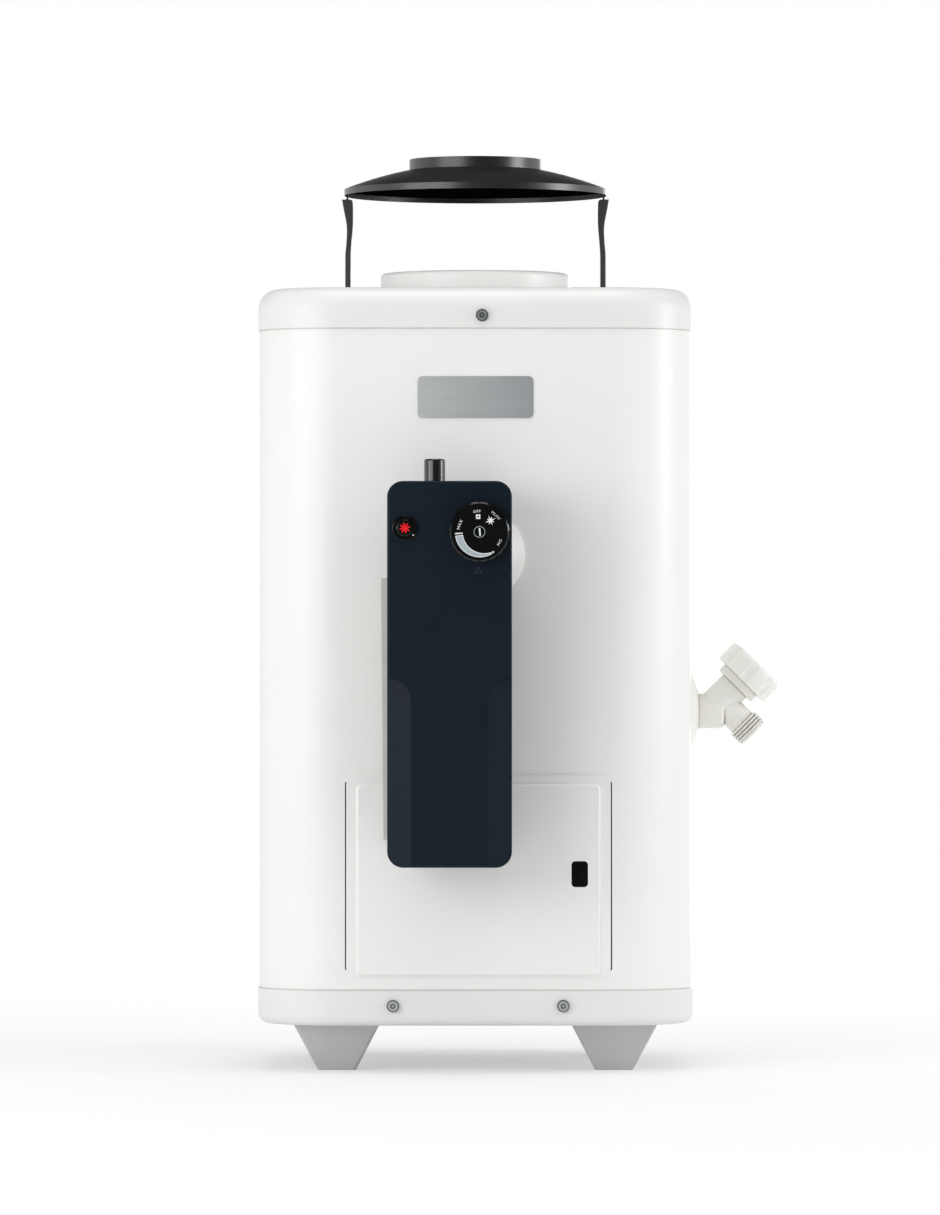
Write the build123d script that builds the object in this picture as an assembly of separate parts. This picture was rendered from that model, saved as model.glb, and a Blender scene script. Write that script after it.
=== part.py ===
from build123d import *
import os
from math import cos, hypot, radians, sin, sqrt

# Floor-standing gas water heater: white sheet-steel casing, small storage tank with a central flue,
# black draft hood on two legs, black-covered gas control on the front, plastic drain valve on the right.
# Millimetres. X runs left to right seen from the front, Y from front to back, Z up.
# The origin is on the floor under the flue axis, midway between the four feet.

# Casing
BODY_WIDTH = 332.0
BODY_DEPTH = 332.0
CORNER_RADIUS = 60.0
CASING_HEIGHT = 564.5
SHEET = 1.2
FOOT_HEIGHT = 36.0
PAN_HEIGHT = 27.0
PAN_EDGE_RADIUS = 8.0
CAP_HEIGHT = 31.5
CAP_EDGE_RADIUS = 15.0
CAP_OVERLAP = 13.0
PAN_OVERLAP = 18.0
SKIRT_GAP = 0.25
SEAM_WIDTH = 12.0
SEAM_PROUD = 2.0
SEAM_Y = -40.0
SEAM_END_GAP = 4.0

# Feet
FOOT_INSET = 59.5
FOOT_TOP = 66.0
FOOT_SOLE = 29.2
FOOT_CORNER = 3.0
FOOT_WALL = 2.5
FOOT_PLATE = 4.0
FOOT_SCREW_RADIUS = 3.0
FOOT_SCREW_HEAD_RADIUS = 6.0
FOOT_SCREW_HEAD = 3.0
FOOT_SCREW_LENGTH = 11.0

# Hexagon washer-head screws of the cap and the pan
SCREW_FLATS = 8.2
SCREW_HEAD = 3.4
SCREW_FLANGE_RADIUS = 4.7
SCREW_FLANGE = 0.9
SCREW_RADIUS = 2.1
SCREW_LENGTH = 9.0
SCREW_DIMPLE_RADIUS = 2.6
SCREW_DIMPLE = 0.9
PAN_SCREW_X = 2.0
PAN_SCREW_SPACING = 130.0
PAN_SCREW_DROP = 11.7
CAP_SCREW_X = 5.0
CAP_SCREW_RISE = 9.5
HOLE_CLEARANCE = 0.2

# Combustion air slots in the pan floor
AIR_SLOT_COUNT = 8
AIR_SLOT_LENGTH = 46.0
AIR_SLOT_WIDTH = 7.0
AIR_SLOT_CENTRE_RADIUS = 78.0

# Name plate, bare
PLATE_WIDTH = 88.5
PLATE_HEIGHT = 32.0
PLATE_THICKNESS = 0.8
PLATE_CORNER = 4.0
PLATE_BELOW_CAP = 53.0

# Access door, its raised panel and its sight window
DOOR_X = 2.3
DOOR_WIDTH = 202.0
DOOR_HEIGHT = 154.0
DOOR_ABOVE_PAN = 10.5
DOOR_CORNER = 8.0
DOOR_SEAT_GAP = 0.2
DOOR_LAP = 13.0
DOOR_BORDER_SIDE = 8.0
DOOR_BORDER_TOP = 7.0
DOOR_BORDER_BOTTOM = 1.2
DOOR_RAISE = 2.0
DOOR_RAISE_CORNER = 4.0
DOOR_FLANGE_DEPTH = 12.0
DOOR_FLANGE_END = 6.5
DOOR_SLIT_SHOWING = 1.0
DOOR_SLIT_INSIDE = 1.0
SIGHT_FROM_EDGE = 23.8
SIGHT_RISE = 78.5
SIGHT_WIDTH = 12.6
SIGHT_HEIGHT = 19.8
SIGHT_CORNER = 3.0
PANE_MARGIN = 3.0
PANE_THICKNESS = 1.5

# Tank, flue and connections
TANK_SPACE = 36.0
TANK_WALL = 2.5
TANK_ABOVE_DOOR = 15.5
TANK_HEADROOM = 55.5
BOTTOM_HEAD_RISE = 20.0
TOP_HEAD_RISE = 15.0
FLUE_RADIUS = 45.0
FLUE_WALL = 2.0
FLUE_BELOW_HEAD = 6.0
FLUE_ABOVE_CAP = 2.0
FIXED_GAP = 0.1
BOSS_STAND = 6.0
BOSS_WALL = 6.0
BAFFLE_SHEET = 1.2
BAFFLE_SWING = 12.0
BAFFLE_PITCH = 40.0
BAFFLE_FOLDS = 6
BAFFLE_TOP_DROP = 20.0
ANODE_ANGLE = 43.1
ANODE_SHARE = 0.47
ANODE_RADIUS = 8.0
ANODE_END_GAP = 67.0
ANODE_HEX_FLATS = 22.0
ANODE_HEX = 9.0
NIPPLE_RADIUS = 10.65
NIPPLE_BORE_RADIUS = 7.9
NIPPLE_THREAD_RADIUS = 10.4
NIPPLE_THREAD = 20.0
NIPPLE_STAND = 38.0
NIPPLE_THREAD_GRIP = 14.0
NIPPLE_SPACING = 120.0
COLD_RISE = 42.0
HOT_DROP = 35.0
RING_RADIUS = 22.0
RING_THICKNESS = 3.0
WOOL_RISE = 9.0
SOFT_GAP = 0.3

# Flue collar and draft hood on top
COLLAR_RADIUS = 74.3
COLLAR_HEIGHT = 17.3
COLLAR_EDGE_RADIUS = 3.4
HOOD_RADIUS = 102.8
HOOD_RIM = 5.0
HOOD_CONE_RISE = 15.0
HOOD_CROWN = 1.2
HOOD_SPIGOT_RADIUS = 51.8
HOOD_SPIGOT = 8.2
HOOD_SHEET = 1.2
HOOD_LIFT = 78.8
LEG_INSET = 2.8
LEG_WIDTH_TOP = 8.6
LEG_THICKNESS_TOP = 2.6
LEG_WIDTH_FOOT = 10.0
LEG_THICKNESS_FOOT = 4.0
LEG_STRAIGHT = 34.0
LEG_TWIST = 22.0
LEG_SWAY = 1.3
LEG_BELOW_RIM = 2.8
LEG_TONGUE_WIDTH = 6.0
LEG_TONGUE = 1.6
LEG_TAB_WIDTH = 6.0
LEG_TAB_THICKNESS = 2.6
LEG_TAB_DEPTH = 7.0

# Gas control: thermostat shank, valve and its fittings
DOME_RADIUS = 33.6
DOME_PROUD = 11.0
DOME_TOP_RADIUS = 20.0
DOME_LIP = 1.6
SHANK_RADIUS = 13.2
SHANK_GRIP = 13.0
PROBE_RADIUS = 5.0
PROBE_FLUE_GAP = 16.0
SHANK_FROM_RIGHT = 18.0
SHANK_BELOW_TOP = 34.5
VALVE_DOME_GAP = 2.0
VALVE_LEFT_GAP = 6.4
VALVE_RIGHT_GAP = 5.4
VALVE_BELOW_COVER_TOP = 20.0
VALVE_HEIGHT = 74.0
VALVE_IGNITER_GAP = 3.2
VALVE_EDGE = 4.0
INLET_FROM_LEFT = 13.0
INLET_BACK = 11.0
INLET_FLATS = 17.0
INLET_HEX = 7.0
INLET_RADIUS = 7.9
INLET_LENGTH = 18.0
INLET_BORE_RADIUS = 4.5

# Black cover over the control
COVER_LEFT = -66.4
COVER_WIDTH = 93.8
COVER_RISE = 123.5
COVER_HEIGHT = 290.5
COVER_STANDOFF = 40.0
COVER_DEPTH = 57.0
COVER_WALL = 2.5
COVER_CORNER = 12.0
COVER_EDGE = 2.0
BEVEL_WIDTH = 18.0
BEVEL_DEPTH = 10.0
BEVEL_HEIGHT = 142.5
BRACKET_SHEET = 1.5
BRACKET_RISE = 19.5
BRACKET_LAP = 21.5
BRACKET_SHOWS_TOP = 5.2
BRACKET_SHOWS_BOTTOM = 3.3
BRACKET_TAB_DEPTH = 16.0
BRACKET_SCREW_RADIUS = 1.5
BRACKET_SCREW_HEAD_RADIUS = 3.0
BRACKET_SCREW_HEAD = 1.6
BRACKET_SCREW_LENGTH = 7.0

# Dial, pilot button and igniter
KNOB_FROM_RIGHT = 24.4
KNOB_BELOW_TOP = 38.5
KNOB_RADIUS = 22.5
KNOB_HEIGHT = 13.5
KNOB_GAP = 0.5
KNOB_EDGE = 1.2
KNOB_FLUTES = 20
KNOB_FLUTE_RADIUS = 1.4
KNOB_FACE = 3.0
DIAL_RIM = 3.1
DIAL_RECESS = 0.5
SPINDLE_RADIUS = 4.0
SPINDLE_BOSS_RADIUS = 10.0
SPINDLE_BOSS = 14.0
SPINDLE_DEPTH = 12.0
RUNNING_GAP = 0.05
PILOT_FROM_LEFT = 13.4
PILOT_BELOW_TOP = 35.5
PILOT_RADIUS = 6.4
PILOT_PROUD = 4.5
PILOT_CAP = 12.0
PILOT_STEM_RADIUS = 3.0
PILOT_STEM_GRIP = 6.0
PILOT_TRAVEL = 5.0
BEZEL_RADIUS = 9.7
BEZEL_PROUD = 2.2
IGNITER_FROM_LEFT = 35.6
IGNITER_BEHIND_FRONT = 25.0
IGNITER_RADIUS = 7.9
IGNITER_PROUD = 17.0
IGNITER_GRIP = 22.0
IGNITER_TRAVEL = 9.0
IGNITER_BODY = 55.0
IGNITER_BODY_WALL = 1.6
IGNITER_FLOOR = 3.0
IGNITER_EDGE = 1.5
SLIDE_GAP = 0.3

# Gas and ignition lines between the control and the burner
MANIFOLD_RADIUS = 5.0
MANIFOLD_BEND = 15.0
MANIFOLD_NUT_FLATS = 15.0
PILOT_LINE_CLEARANCE = 6.0
PILOT_LINE_RADIUS = 2.4
PILOT_NUT_FLATS = 9.0
THERMO_CLEARANCE = 3.5
THERMO_RADIUS = 1.7
THERMO_NUT_FLATS = 6.5
LEAD_RADIUS = 2.5
LINE_BEND = 12.0
LINE_NUT = 9.0
LINE_TURN_UP = 8.0
ENTRY_ABOVE_DOOR = 13.5
GROMMET_MARGIN = 7.0
GROMMET_HEIGHT = 15.0
GROMMET_LIP = 1.6
GROMMET_LIP_OVERHANG = 0.9

# Combustion chamber and burner
CHAMBER_WALL = 1.5
CHAMBER_MOUTH_WIDTH = 140.0
CHAMBER_MOUTH_DROP = 13.5
CHAMBER_MOUTH_HEIGHT = 140.0
INNER_DOOR_MARGIN = 11.0
INNER_DOOR_SHEET = 1.2
BURNER_RISE = 44.5
MIXER_RADIUS = 12.0
MIXER_WALL = 2.0
MIXER_SETBACK = 26.0
MIXER_WINDOW = 15.0
MIXER_WINDOW_HEIGHT = 14.0
RISER_RADIUS = 18.0
RISER_SUMP = 2.0
DISH_RISE = 10.0
DISH_RIM = 4.0
RISER_TOP = 22.0
BURNER_CAP_OVERHANG = 2.0
BURNER_CAP_THICKNESS = 6.0
BURNER_CAP_SPIGOT = 3.0
PORT_COUNT = 24
PORT_RADIUS = 1.6
PORT_INSET = 9.0
ORIFICE_FLATS = 13.0
ORIFICE_HEX = 14.0
ORIFICE_RADIUS = 4.0
ORIFICE_NOSE = 7.0
STAND_RADIUS = 16.0
STAND_WALL = 1.6
STAND_FLANGE_RADIUS = 30.0
PILOT_BRACKET_SHEET = 1.5
PILOT_BRACKET_DEPTH = 18.0
PILOT_BRACKET_MARGIN = 8.0
PILOT_BEHIND_MOUTH = 32.0
PILOT_BURNER_GAP = 15.0
PILOT_RISE = 12.0
PILOT_BURNER_RADIUS = 4.5
PILOT_BURNER_HEIGHT = 24.0
THERMO_TIP_RADIUS = 2.6
THERMO_TIP_HEIGHT = 27.0
ELECTRODE_RADIUS = 3.1
ELECTRODE_HEIGHT = 18.0
ELECTRODE_WIRE_RADIUS = 0.9
ELECTRODE_WIRE = 9.0

# Drain valve: a Y body, the handle pointing up and out, the hose outlet down and out
DRAIN_ABOVE_TANK_BOTTOM = 32.0
DRAIN_ANGLE = 45.0
DRAIN_REACH = 26.0
DRAIN_RISE = 8.2
DRAIN_SHANK_RADIUS = 10.5
DRAIN_SHANK_GRIP = 8.0
DRAIN_BARREL_RADIUS = 13.5
DRAIN_BARREL_PAST = 3.0
DRAIN_ARM_RADIUS = 12.9
DRAIN_ARM = 16.0
DRAIN_CHAMBER_RADIUS = 9.0
DRAIN_BORE_RADIUS = 5.5
DRAIN_PORT_RADIUS = 4.5
DRAIN_SEAT_DROP = 6.0
OUTLET_LENGTH = 36.5
OUTLET_NECK_RADIUS = 11.0
HOSE_CREST_RADIUS = 13.2
HOSE_ROOT_RADIUS = 12.1
HOSE_PITCH = 2.6
HOSE_CREST = 1.3
HOSE_TURNS = 4
HOSE_NOSE = 1.2
WASHER_RADIUS = 7.0
WASHER_THICKNESS = 3.0
STEM_RADIUS = 4.5
STEM_IN_HANDLE = 18.0
BONNET_LENGTH = 9.0
HANDLE_GAP = 0.3
HANDLE_SKIRT_RADIUS = 17.5
HANDLE_SKIRT = 6.7
HANDLE_RADIUS = 24.5
HANDLE_GRIP = 18.2
HANDLE_EDGE = 3.5
HANDLE_LOBES = 8
HANDLE_FLUTE_RADIUS = 7.0
HANDLE_FLUTE_DEPTH = 1.6
ESCUTCHEON_RADIUS = 37.5
ESCUTCHEON_TOP_RADIUS = 16.2
ESCUTCHEON_PROUD = 8.8
ESCUTCHEON_LIP = 1.2

# Planes and levels that several pieces share
FRONT = -BODY_DEPTH / 2
REAR = BODY_DEPTH / 2
SIDE = BODY_WIDTH / 2
SKIRT_FACE = BODY_DEPTH / 2 + SKIRT_GAP + SHEET
PAN_FLOOR = FOOT_HEIGHT + SHEET
PAN_TOP = FOOT_HEIGHT + PAN_HEIGHT
CAP_TOP = FOOT_HEIGHT + CASING_HEIGHT
CAP_BOTTOM = CAP_TOP - CAP_HEIGHT
JACKET_BOTTOM = PAN_TOP - PAN_OVERLAP
JACKET_TOP = CAP_BOTTOM + CAP_OVERLAP
PAN_SCREW_Z = PAN_TOP - PAN_SCREW_DROP
CAP_SCREW_Z = CAP_BOTTOM + CAP_SCREW_RISE
FOOT_X = BODY_WIDTH / 2 - FOOT_INSET
FOOT_Y = BODY_DEPTH / 2 - FOOT_INSET
PLATE_Z = CAP_BOTTOM - PLATE_BELOW_CAP
DOOR_BOTTOM = PAN_TOP + DOOR_ABOVE_PAN
DOOR_TOP = DOOR_BOTTOM + DOOR_HEIGHT
DOOR_Z = DOOR_BOTTOM + DOOR_HEIGHT / 2
DOOR_BACK = FRONT - DOOR_SEAT_GAP
DOOR_FACE = DOOR_BACK - SHEET - DOOR_RAISE
SIGHT_X = DOOR_X + DOOR_WIDTH / 2 - SIGHT_FROM_EDGE
SIGHT_Z = DOOR_BOTTOM + SIGHT_RISE

# The tank fills the casing above the door, and its fittings follow its ends
TANK_RADIUS = min(BODY_WIDTH, BODY_DEPTH) / 2 - TANK_SPACE
TANK_BOTTOM = DOOR_TOP + TANK_ABOVE_DOOR
TANK_TOP = CAP_TOP - TANK_HEADROOM
TANK_SHELL_HEIGHT = TANK_TOP - TANK_BOTTOM
INSULATION_BOTTOM = TANK_BOTTOM + WOOL_RISE
COLD_Z = TANK_BOTTOM + COLD_RISE
HOT_Z = TANK_TOP - HOT_DROP
DRAIN_Z = TANK_BOTTOM + DRAIN_ABOVE_TANK_BOTTOM
ANODE_RING = FLUE_RADIUS + (TANK_RADIUS - FLUE_RADIUS) * ANODE_SHARE
ANODE_X = ANODE_RING * cos(radians(ANODE_ANGLE))
ANODE_Y = ANODE_RING * sin(radians(ANODE_ANGLE))
FLUE_TOP = CAP_TOP + FLUE_ABOVE_CAP
HOOD_BOTTOM = CAP_TOP + HOOD_LIFT

# The control hangs in its cover, and the valve, the dial and the buttons follow the cover's edges
COVER_BOTTOM = FOOT_HEIGHT + COVER_RISE
COVER_TOP = COVER_BOTTOM + COVER_HEIGHT
COVER_RIGHT = COVER_LEFT + COVER_WIDTH
COVER_X = COVER_LEFT + COVER_WIDTH / 2
COVER_Z = COVER_BOTTOM + COVER_HEIGHT / 2
COVER_BACK = FRONT - COVER_STANDOFF
COVER_FRONT = COVER_BACK - COVER_DEPTH
BEVEL_TOP = COVER_BOTTOM + BEVEL_HEIGHT
KNOB_X = COVER_RIGHT - KNOB_FROM_RIGHT
KNOB_Z = COVER_TOP - KNOB_BELOW_TOP
PILOT_X = COVER_LEFT + PILOT_FROM_LEFT
PILOT_Z = COVER_TOP - PILOT_BELOW_TOP
IGNITER_X = COVER_LEFT + IGNITER_FROM_LEFT
IGNITER_Y = COVER_FRONT + IGNITER_BEHIND_FRONT
IGNITER_CEILING = COVER_TOP - COVER_WALL
IGNITER_BODY_RADIUS = IGNITER_RADIUS + SLIDE_GAP + IGNITER_BODY_WALL
VALVE_LEFT = COVER_LEFT + VALVE_LEFT_GAP
VALVE_RIGHT = COVER_RIGHT - VALVE_RIGHT_GAP
VALVE_TOP = COVER_TOP - VALVE_BELOW_COVER_TOP
VALVE_BOTTOM = VALVE_TOP - VALVE_HEIGHT
VALVE_BACK = FRONT - DOME_PROUD - VALVE_DOME_GAP
VALVE_FRONT = IGNITER_Y + IGNITER_BODY_RADIUS + VALVE_IGNITER_GAP
VALVE_DEPTH = VALVE_BACK - VALVE_FRONT
CONTROL_X = VALVE_RIGHT - SHANK_FROM_RIGHT
THERMOSTAT_Z = VALVE_TOP - SHANK_BELOW_TOP
BRACKET_BOTTOM = COVER_BOTTOM + BRACKET_RISE
BRACKET_TOP = VALVE_BOTTOM + BRACKET_LAP
INLET_X = VALVE_LEFT + INLET_FROM_LEFT
INLET_Y = VALVE_BACK - INLET_BACK

# The burner sits behind the door, and the lines come down between the jacket and the chamber
BURNER_AXIS_Z = DOOR_BOTTOM + BURNER_RISE
CHAMBER_MOUTH_BOTTOM = DOOR_BOTTOM - CHAMBER_MOUTH_DROP
MIXER_MOUTH = MIXER_SETBACK - TANK_RADIUS
MIXER_LENGTH = -MIXER_MOUTH
PILOT_Y = MIXER_MOUTH + PILOT_BEHIND_MOUTH
BURNER_CAP_RADIUS = -PILOT_Y - PILOT_BURNER_GAP
DISH_RADIUS = BURNER_CAP_RADIUS - BURNER_CAP_OVERHANG
PORT_RING_RADIUS = DISH_RADIUS - PORT_INSET
RISER_BOTTOM_Z = BURNER_AXIS_Z - MIXER_RADIUS - RISER_SUMP
RISER_TOP_Z = BURNER_AXIS_Z + RISER_TOP
DISH_TOP_Z = RISER_TOP_Z + DISH_RISE + DISH_RIM
PILOT_FOOT_Z = BURNER_AXIS_Z + PILOT_RISE
PILOT_BRACKET_Z = BURNER_AXIS_Z + MIXER_RADIUS + FIXED_GAP
PILOT_LINE_X = -MIXER_RADIUS - PILOT_LINE_CLEARANCE
THERMO_X = MIXER_RADIUS + THERMO_CLEARANCE
LINE_Y = VALVE_BACK - VALVE_DEPTH * 0.45
TUBE_ENTRY_Z = DOOR_TOP + ENTRY_ABOVE_DOOR
TUBE_DROP_Y = FRONT + TANK_SPACE / 2

# The drain valve's two arms leave one centre
STEM_DIRECTION = Vector(cos(radians(DRAIN_ANGLE)), 0, sin(radians(DRAIN_ANGLE)))
OUTLET_DIRECTION = Vector(cos(radians(DRAIN_ANGLE)), 0, -sin(radians(DRAIN_ANGLE)))
DRAIN_CENTRE = Vector(SIDE + DRAIN_REACH, 0, DRAIN_Z + DRAIN_RISE)
DRAIN_ELBOW_DROP = DRAIN_RISE / sin(radians(DRAIN_ANGLE))
DRAIN_ELBOW_X = DRAIN_CENTRE.X - DRAIN_RISE / sin(radians(DRAIN_ANGLE)) * cos(radians(DRAIN_ANGLE))
BARREL_START = SIDE + ESCUTCHEON_PROUD + SOFT_GAP
HANDLE_START = DRAIN_ARM + HANDLE_GAP

LEFTWARD = (-1, 0, 0)
RIGHTWARD = (1, 0, 0)
FRONTWARD = (0, -1, 0)
REARWARD = (0, 1, 0)
UPWARD = (0, 0, 1)
DOWNWARD = (0, 0, -1)
FROM_BASE = (Align.CENTER, Align.CENTER, Align.MIN)
OVERCUT = 1.0


def rod(start, direction, length, radius):
    """Cylinder that starts at a point and runs along a direction."""
    return Plane(origin=start, z_dir=direction) * Cylinder(radius, length, align=FROM_BASE)


def pipe(start, direction, length, outer, inner):
    """Cylinder with a bore right through it."""
    past = Vector(*start) - Vector(*direction).normalized() * OVERCUT
    return rod(start, direction, length, outer) - rod(past, direction, length + 2 * OVERCUT, inner)


def block(x_pair, y_pair, z_pair):
    """Box between two coordinates on each axis."""
    spans = [pair[1] - pair[0] for pair in (x_pair, y_pair, z_pair)]
    middles = [(pair[0] + pair[1]) / 2 for pair in (x_pair, y_pair, z_pair)]
    return Pos(*middles) * Box(*spans)


def slab(x, z, width, height, corner, y_pair):
    """Rounded rectangle facing the front, between two depths."""
    plane = Plane(origin=(x, y_pair[0], z), x_dir=(1, 0, 0), z_dir=REARWARD)
    return extrude(plane * RectangleRounded(width, height, corner), y_pair[1] - y_pair[0])


def hexagon(start, direction, length, flats):
    """Hexagonal prism of a width across flats."""
    outline = RegularPolygon(flats / 2, 6, major_radius=False)
    return extrude(Plane(origin=start, z_dir=direction) * outline, length)


def turned(points):
    """Solid of revolution about Z from (radius, height) corners."""
    outline = Polyline(*[(radius, 0, height) for radius, height in points], close=True)
    return revolve(make_face(outline), Axis.Z)


def casing_block(inset, low, high):
    """Rounded block of the casing's plan, inset from the outside of the jacket."""
    outline = RectangleRounded(BODY_WIDTH - 2 * inset, BODY_DEPTH - 2 * inset, CORNER_RADIUS - inset)
    return Pos(0, 0, low) * extrude(outline, high - low)


def swept(points, bends, radius):
    """Round bar along straight runs joined by tangent arcs."""
    path = FilletPolyline(*points, radius=bends)
    return sweep(Plane(origin=path @ 0, z_dir=path % 0) * Circle(radius), path=path)


def along_stem(distance):
    """Point on the drain valve's stem axis, measured outwards from the valve's centre."""
    return DRAIN_CENTRE + STEM_DIRECTION * distance


def along_outlet(distance):
    """Point on the drain valve's outlet axis, measured outwards from the valve's centre."""
    return DRAIN_CENTRE + OUTLET_DIRECTION * distance


def screw_places(z, across):
    """Seats of the skirt screws on the front and rear faces: point and outward direction."""
    return [((x, side * SKIRT_FACE, z), (0, side, 0)) for side in (-1, 1) for x in across]


PAN_SCREWS = screw_places(
    PAN_SCREW_Z, (PAN_SCREW_X - PAN_SCREW_SPACING / 2, PAN_SCREW_X + PAN_SCREW_SPACING / 2)
)
CAP_SCREWS = screw_places(CAP_SCREW_Z, (CAP_SCREW_X,))
FOOT_PLACES = {
    "foot_front_left": (-FOOT_X, -FOOT_Y),
    "foot_front_right": (FOOT_X, -FOOT_Y),
    "foot_rear_left": (-FOOT_X, FOOT_Y),
    "foot_rear_right": (FOOT_X, FOOT_Y),
}


# Casing

def skirt_holes(places):
    """Clearance holes for skirt screws, through the skirt and the jacket behind it."""
    depth = SCREW_LENGTH + OVERCUT
    holes = Part()
    for (x, y, z), out in places:
        start = Vector(x, y, z) + Vector(*out) * OVERCUT
        holes += rod(start, Vector(*out) * -1, depth, SCREW_RADIUS + HOLE_CLEARANCE)
    return holes


def make_jacket():
    """Wrapped sheet-steel jacket with a lock seam on its left side and all its openings."""
    shell = casing_block(0, JACKET_BOTTOM, JACKET_TOP)
    shell -= casing_block(SHEET, JACKET_BOTTOM - OVERCUT, JACKET_TOP + OVERCUT)
    shell += block(
        (-SIDE - SEAM_PROUD, -SIDE + SHEET / 2),
        (SEAM_Y - SEAM_WIDTH / 2, SEAM_Y + SEAM_WIDTH / 2),
        (PAN_TOP + SEAM_END_GAP, CAP_BOTTOM - SEAM_END_GAP),
    )
    through_front = (FRONT - OVERCUT, FRONT + SHEET + OVERCUT)
    mouth_width = DOOR_WIDTH - 2 * DOOR_LAP
    mouth_height = DOOR_HEIGHT - 2 * DOOR_LAP
    shell -= slab(DOOR_X, DOOR_Z, mouth_width, mouth_height, DOOR_CORNER, through_front)
    slit_end = DOOR_FLANGE_END - DOOR_SLIT_INSIDE
    slit_z = (DOOR_BOTTOM + slit_end, DOOR_TOP - slit_end)
    slit_y = (FRONT - OVERCUT, FRONT + DOOR_FLANGE_DEPTH)
    outer_edge = DOOR_WIDTH / 2 + DOOR_SLIT_SHOWING
    inner_edge = DOOR_WIDTH / 2 - SHEET - DOOR_SLIT_INSIDE
    shell -= block((DOOR_X - outer_edge, DOOR_X - inner_edge), slit_y, slit_z)
    shell -= block((DOOR_X + inner_edge, DOOR_X + outer_edge), slit_y, slit_z)
    shell -= rod((CONTROL_X, FRONT - OVERCUT, THERMOSTAT_Z), REARWARD, SHEET + 2 * OVERCUT,
                 SHANK_RADIUS + SOFT_GAP)
    shell -= grommet_slot(SOFT_GAP / 2, through_front)
    shell -= rod((SIDE - SHEET - OVERCUT, 0, DRAIN_Z), RIGHTWARD, SHEET + 2 * OVERCUT,
                 DRAIN_SHANK_RADIUS + SOFT_GAP)
    for x, z in NIPPLES.values():
        shell -= rod((x, REAR - SHEET - OVERCUT, z), REARWARD, SHEET + 2 * OVERCUT,
                     NIPPLE_RADIUS + SOFT_GAP)
    return shell - skirt_holes(PAN_SCREWS) - skirt_holes(CAP_SCREWS)


def make_base_pan():
    """Drawn pan that takes the bottom of the jacket inside its skirt."""
    outer = casing_block(-SKIRT_GAP - SHEET, FOOT_HEIGHT, PAN_TOP)
    outer = fillet(outer.edges().group_by(Axis.Z)[0], PAN_EDGE_RADIUS)
    inner = casing_block(-SKIRT_GAP, PAN_FLOOR, PAN_TOP + OVERCUT)
    inner = fillet(inner.edges().group_by(Axis.Z)[0], PAN_EDGE_RADIUS - SHEET)
    pan = outer - inner - skirt_holes(PAN_SCREWS)
    slot = extrude(SlotOverall(AIR_SLOT_LENGTH, AIR_SLOT_WIDTH), SHEET + 2 * OVERCUT)
    for index in range(AIR_SLOT_COUNT):
        turn = Rot(0, 0, 360 / AIR_SLOT_COUNT * (index + 0.5))
        pan -= turn * Pos(AIR_SLOT_CENTRE_RADIUS, 0, FOOT_HEIGHT - OVERCUT) * slot
    for x, y in FOOT_PLACES.values():
        pan -= rod((x, y, FOOT_HEIGHT - OVERCUT), UPWARD, SHEET + 2 * OVERCUT,
                   FOOT_SCREW_RADIUS + HOLE_CLEARANCE)
    return pan


def make_top_cap():
    """Drawn cap over the top of the jacket, with the flue hole and two slots for the hood legs."""
    outer = casing_block(-SKIRT_GAP - SHEET, CAP_BOTTOM, CAP_TOP)
    outer = fillet(outer.edges().group_by(Axis.Z)[-1], CAP_EDGE_RADIUS)
    inner = casing_block(-SKIRT_GAP, CAP_BOTTOM - OVERCUT, CAP_TOP - SHEET)
    inner = fillet(inner.edges().group_by(Axis.Z)[-1], CAP_EDGE_RADIUS - SHEET)
    cap = outer - inner - skirt_holes(CAP_SCREWS)
    cap -= rod((0, 0, CAP_TOP - SHEET - OVERCUT), UPWARD, SHEET + 2 * OVERCUT, FLUE_RADIUS + SOFT_GAP)
    slot_x = LEG_TAB_THICKNESS / 2 + SOFT_GAP
    slot_y = LEG_TAB_WIDTH / 2 + SOFT_GAP
    slot_z = (CAP_TOP - SHEET - OVERCUT, CAP_TOP + OVERCUT)
    for side in (-1, 1):
        x = side * LEG_X
        cap -= block((x - slot_x, x + slot_x), (-slot_y, slot_y), slot_z)
    return cap


def make_skirt_screws(places):
    """Hexagon washer-head screws seated on the skirt."""
    screws = Part()
    for point, out in places:
        seat = Vector(*point)
        outward = Vector(*out)
        head = rod(seat, out, SCREW_FLANGE, SCREW_FLANGE_RADIUS)
        head += hexagon(seat + outward * SCREW_FLANGE, out, SCREW_HEAD - SCREW_FLANGE, SCREW_FLATS)
        head -= rod(seat + outward * (SCREW_HEAD - SCREW_DIMPLE), out, SCREW_DIMPLE + OVERCUT,
                    SCREW_DIMPLE_RADIUS)
        screws += head + rod(seat, outward * -1, SCREW_LENGTH, SCREW_RADIUS)
    return screws


def make_foot(x, y):
    """Hollow tapered foot, open underneath, with a plate under the pan."""
    def outline(z, inset):
        share = z / FOOT_HEIGHT
        width = FOOT_SOLE + (FOOT_TOP - FOOT_SOLE) * share - 2 * inset
        return Pos(x, y, z) * RectangleRounded(width, width, FOOT_CORNER)

    outer = loft([outline(0, 0), outline(FOOT_HEIGHT, 0)])
    inner = loft([outline(0, FOOT_WALL), outline(FOOT_HEIGHT - FOOT_PLATE, FOOT_WALL)])
    hole = rod((x, y, FOOT_HEIGHT - FOOT_PLATE - OVERCUT), UPWARD, FOOT_PLATE + 2 * OVERCUT,
               FOOT_SCREW_RADIUS + HOLE_CLEARANCE)
    return outer - inner - hole


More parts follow.
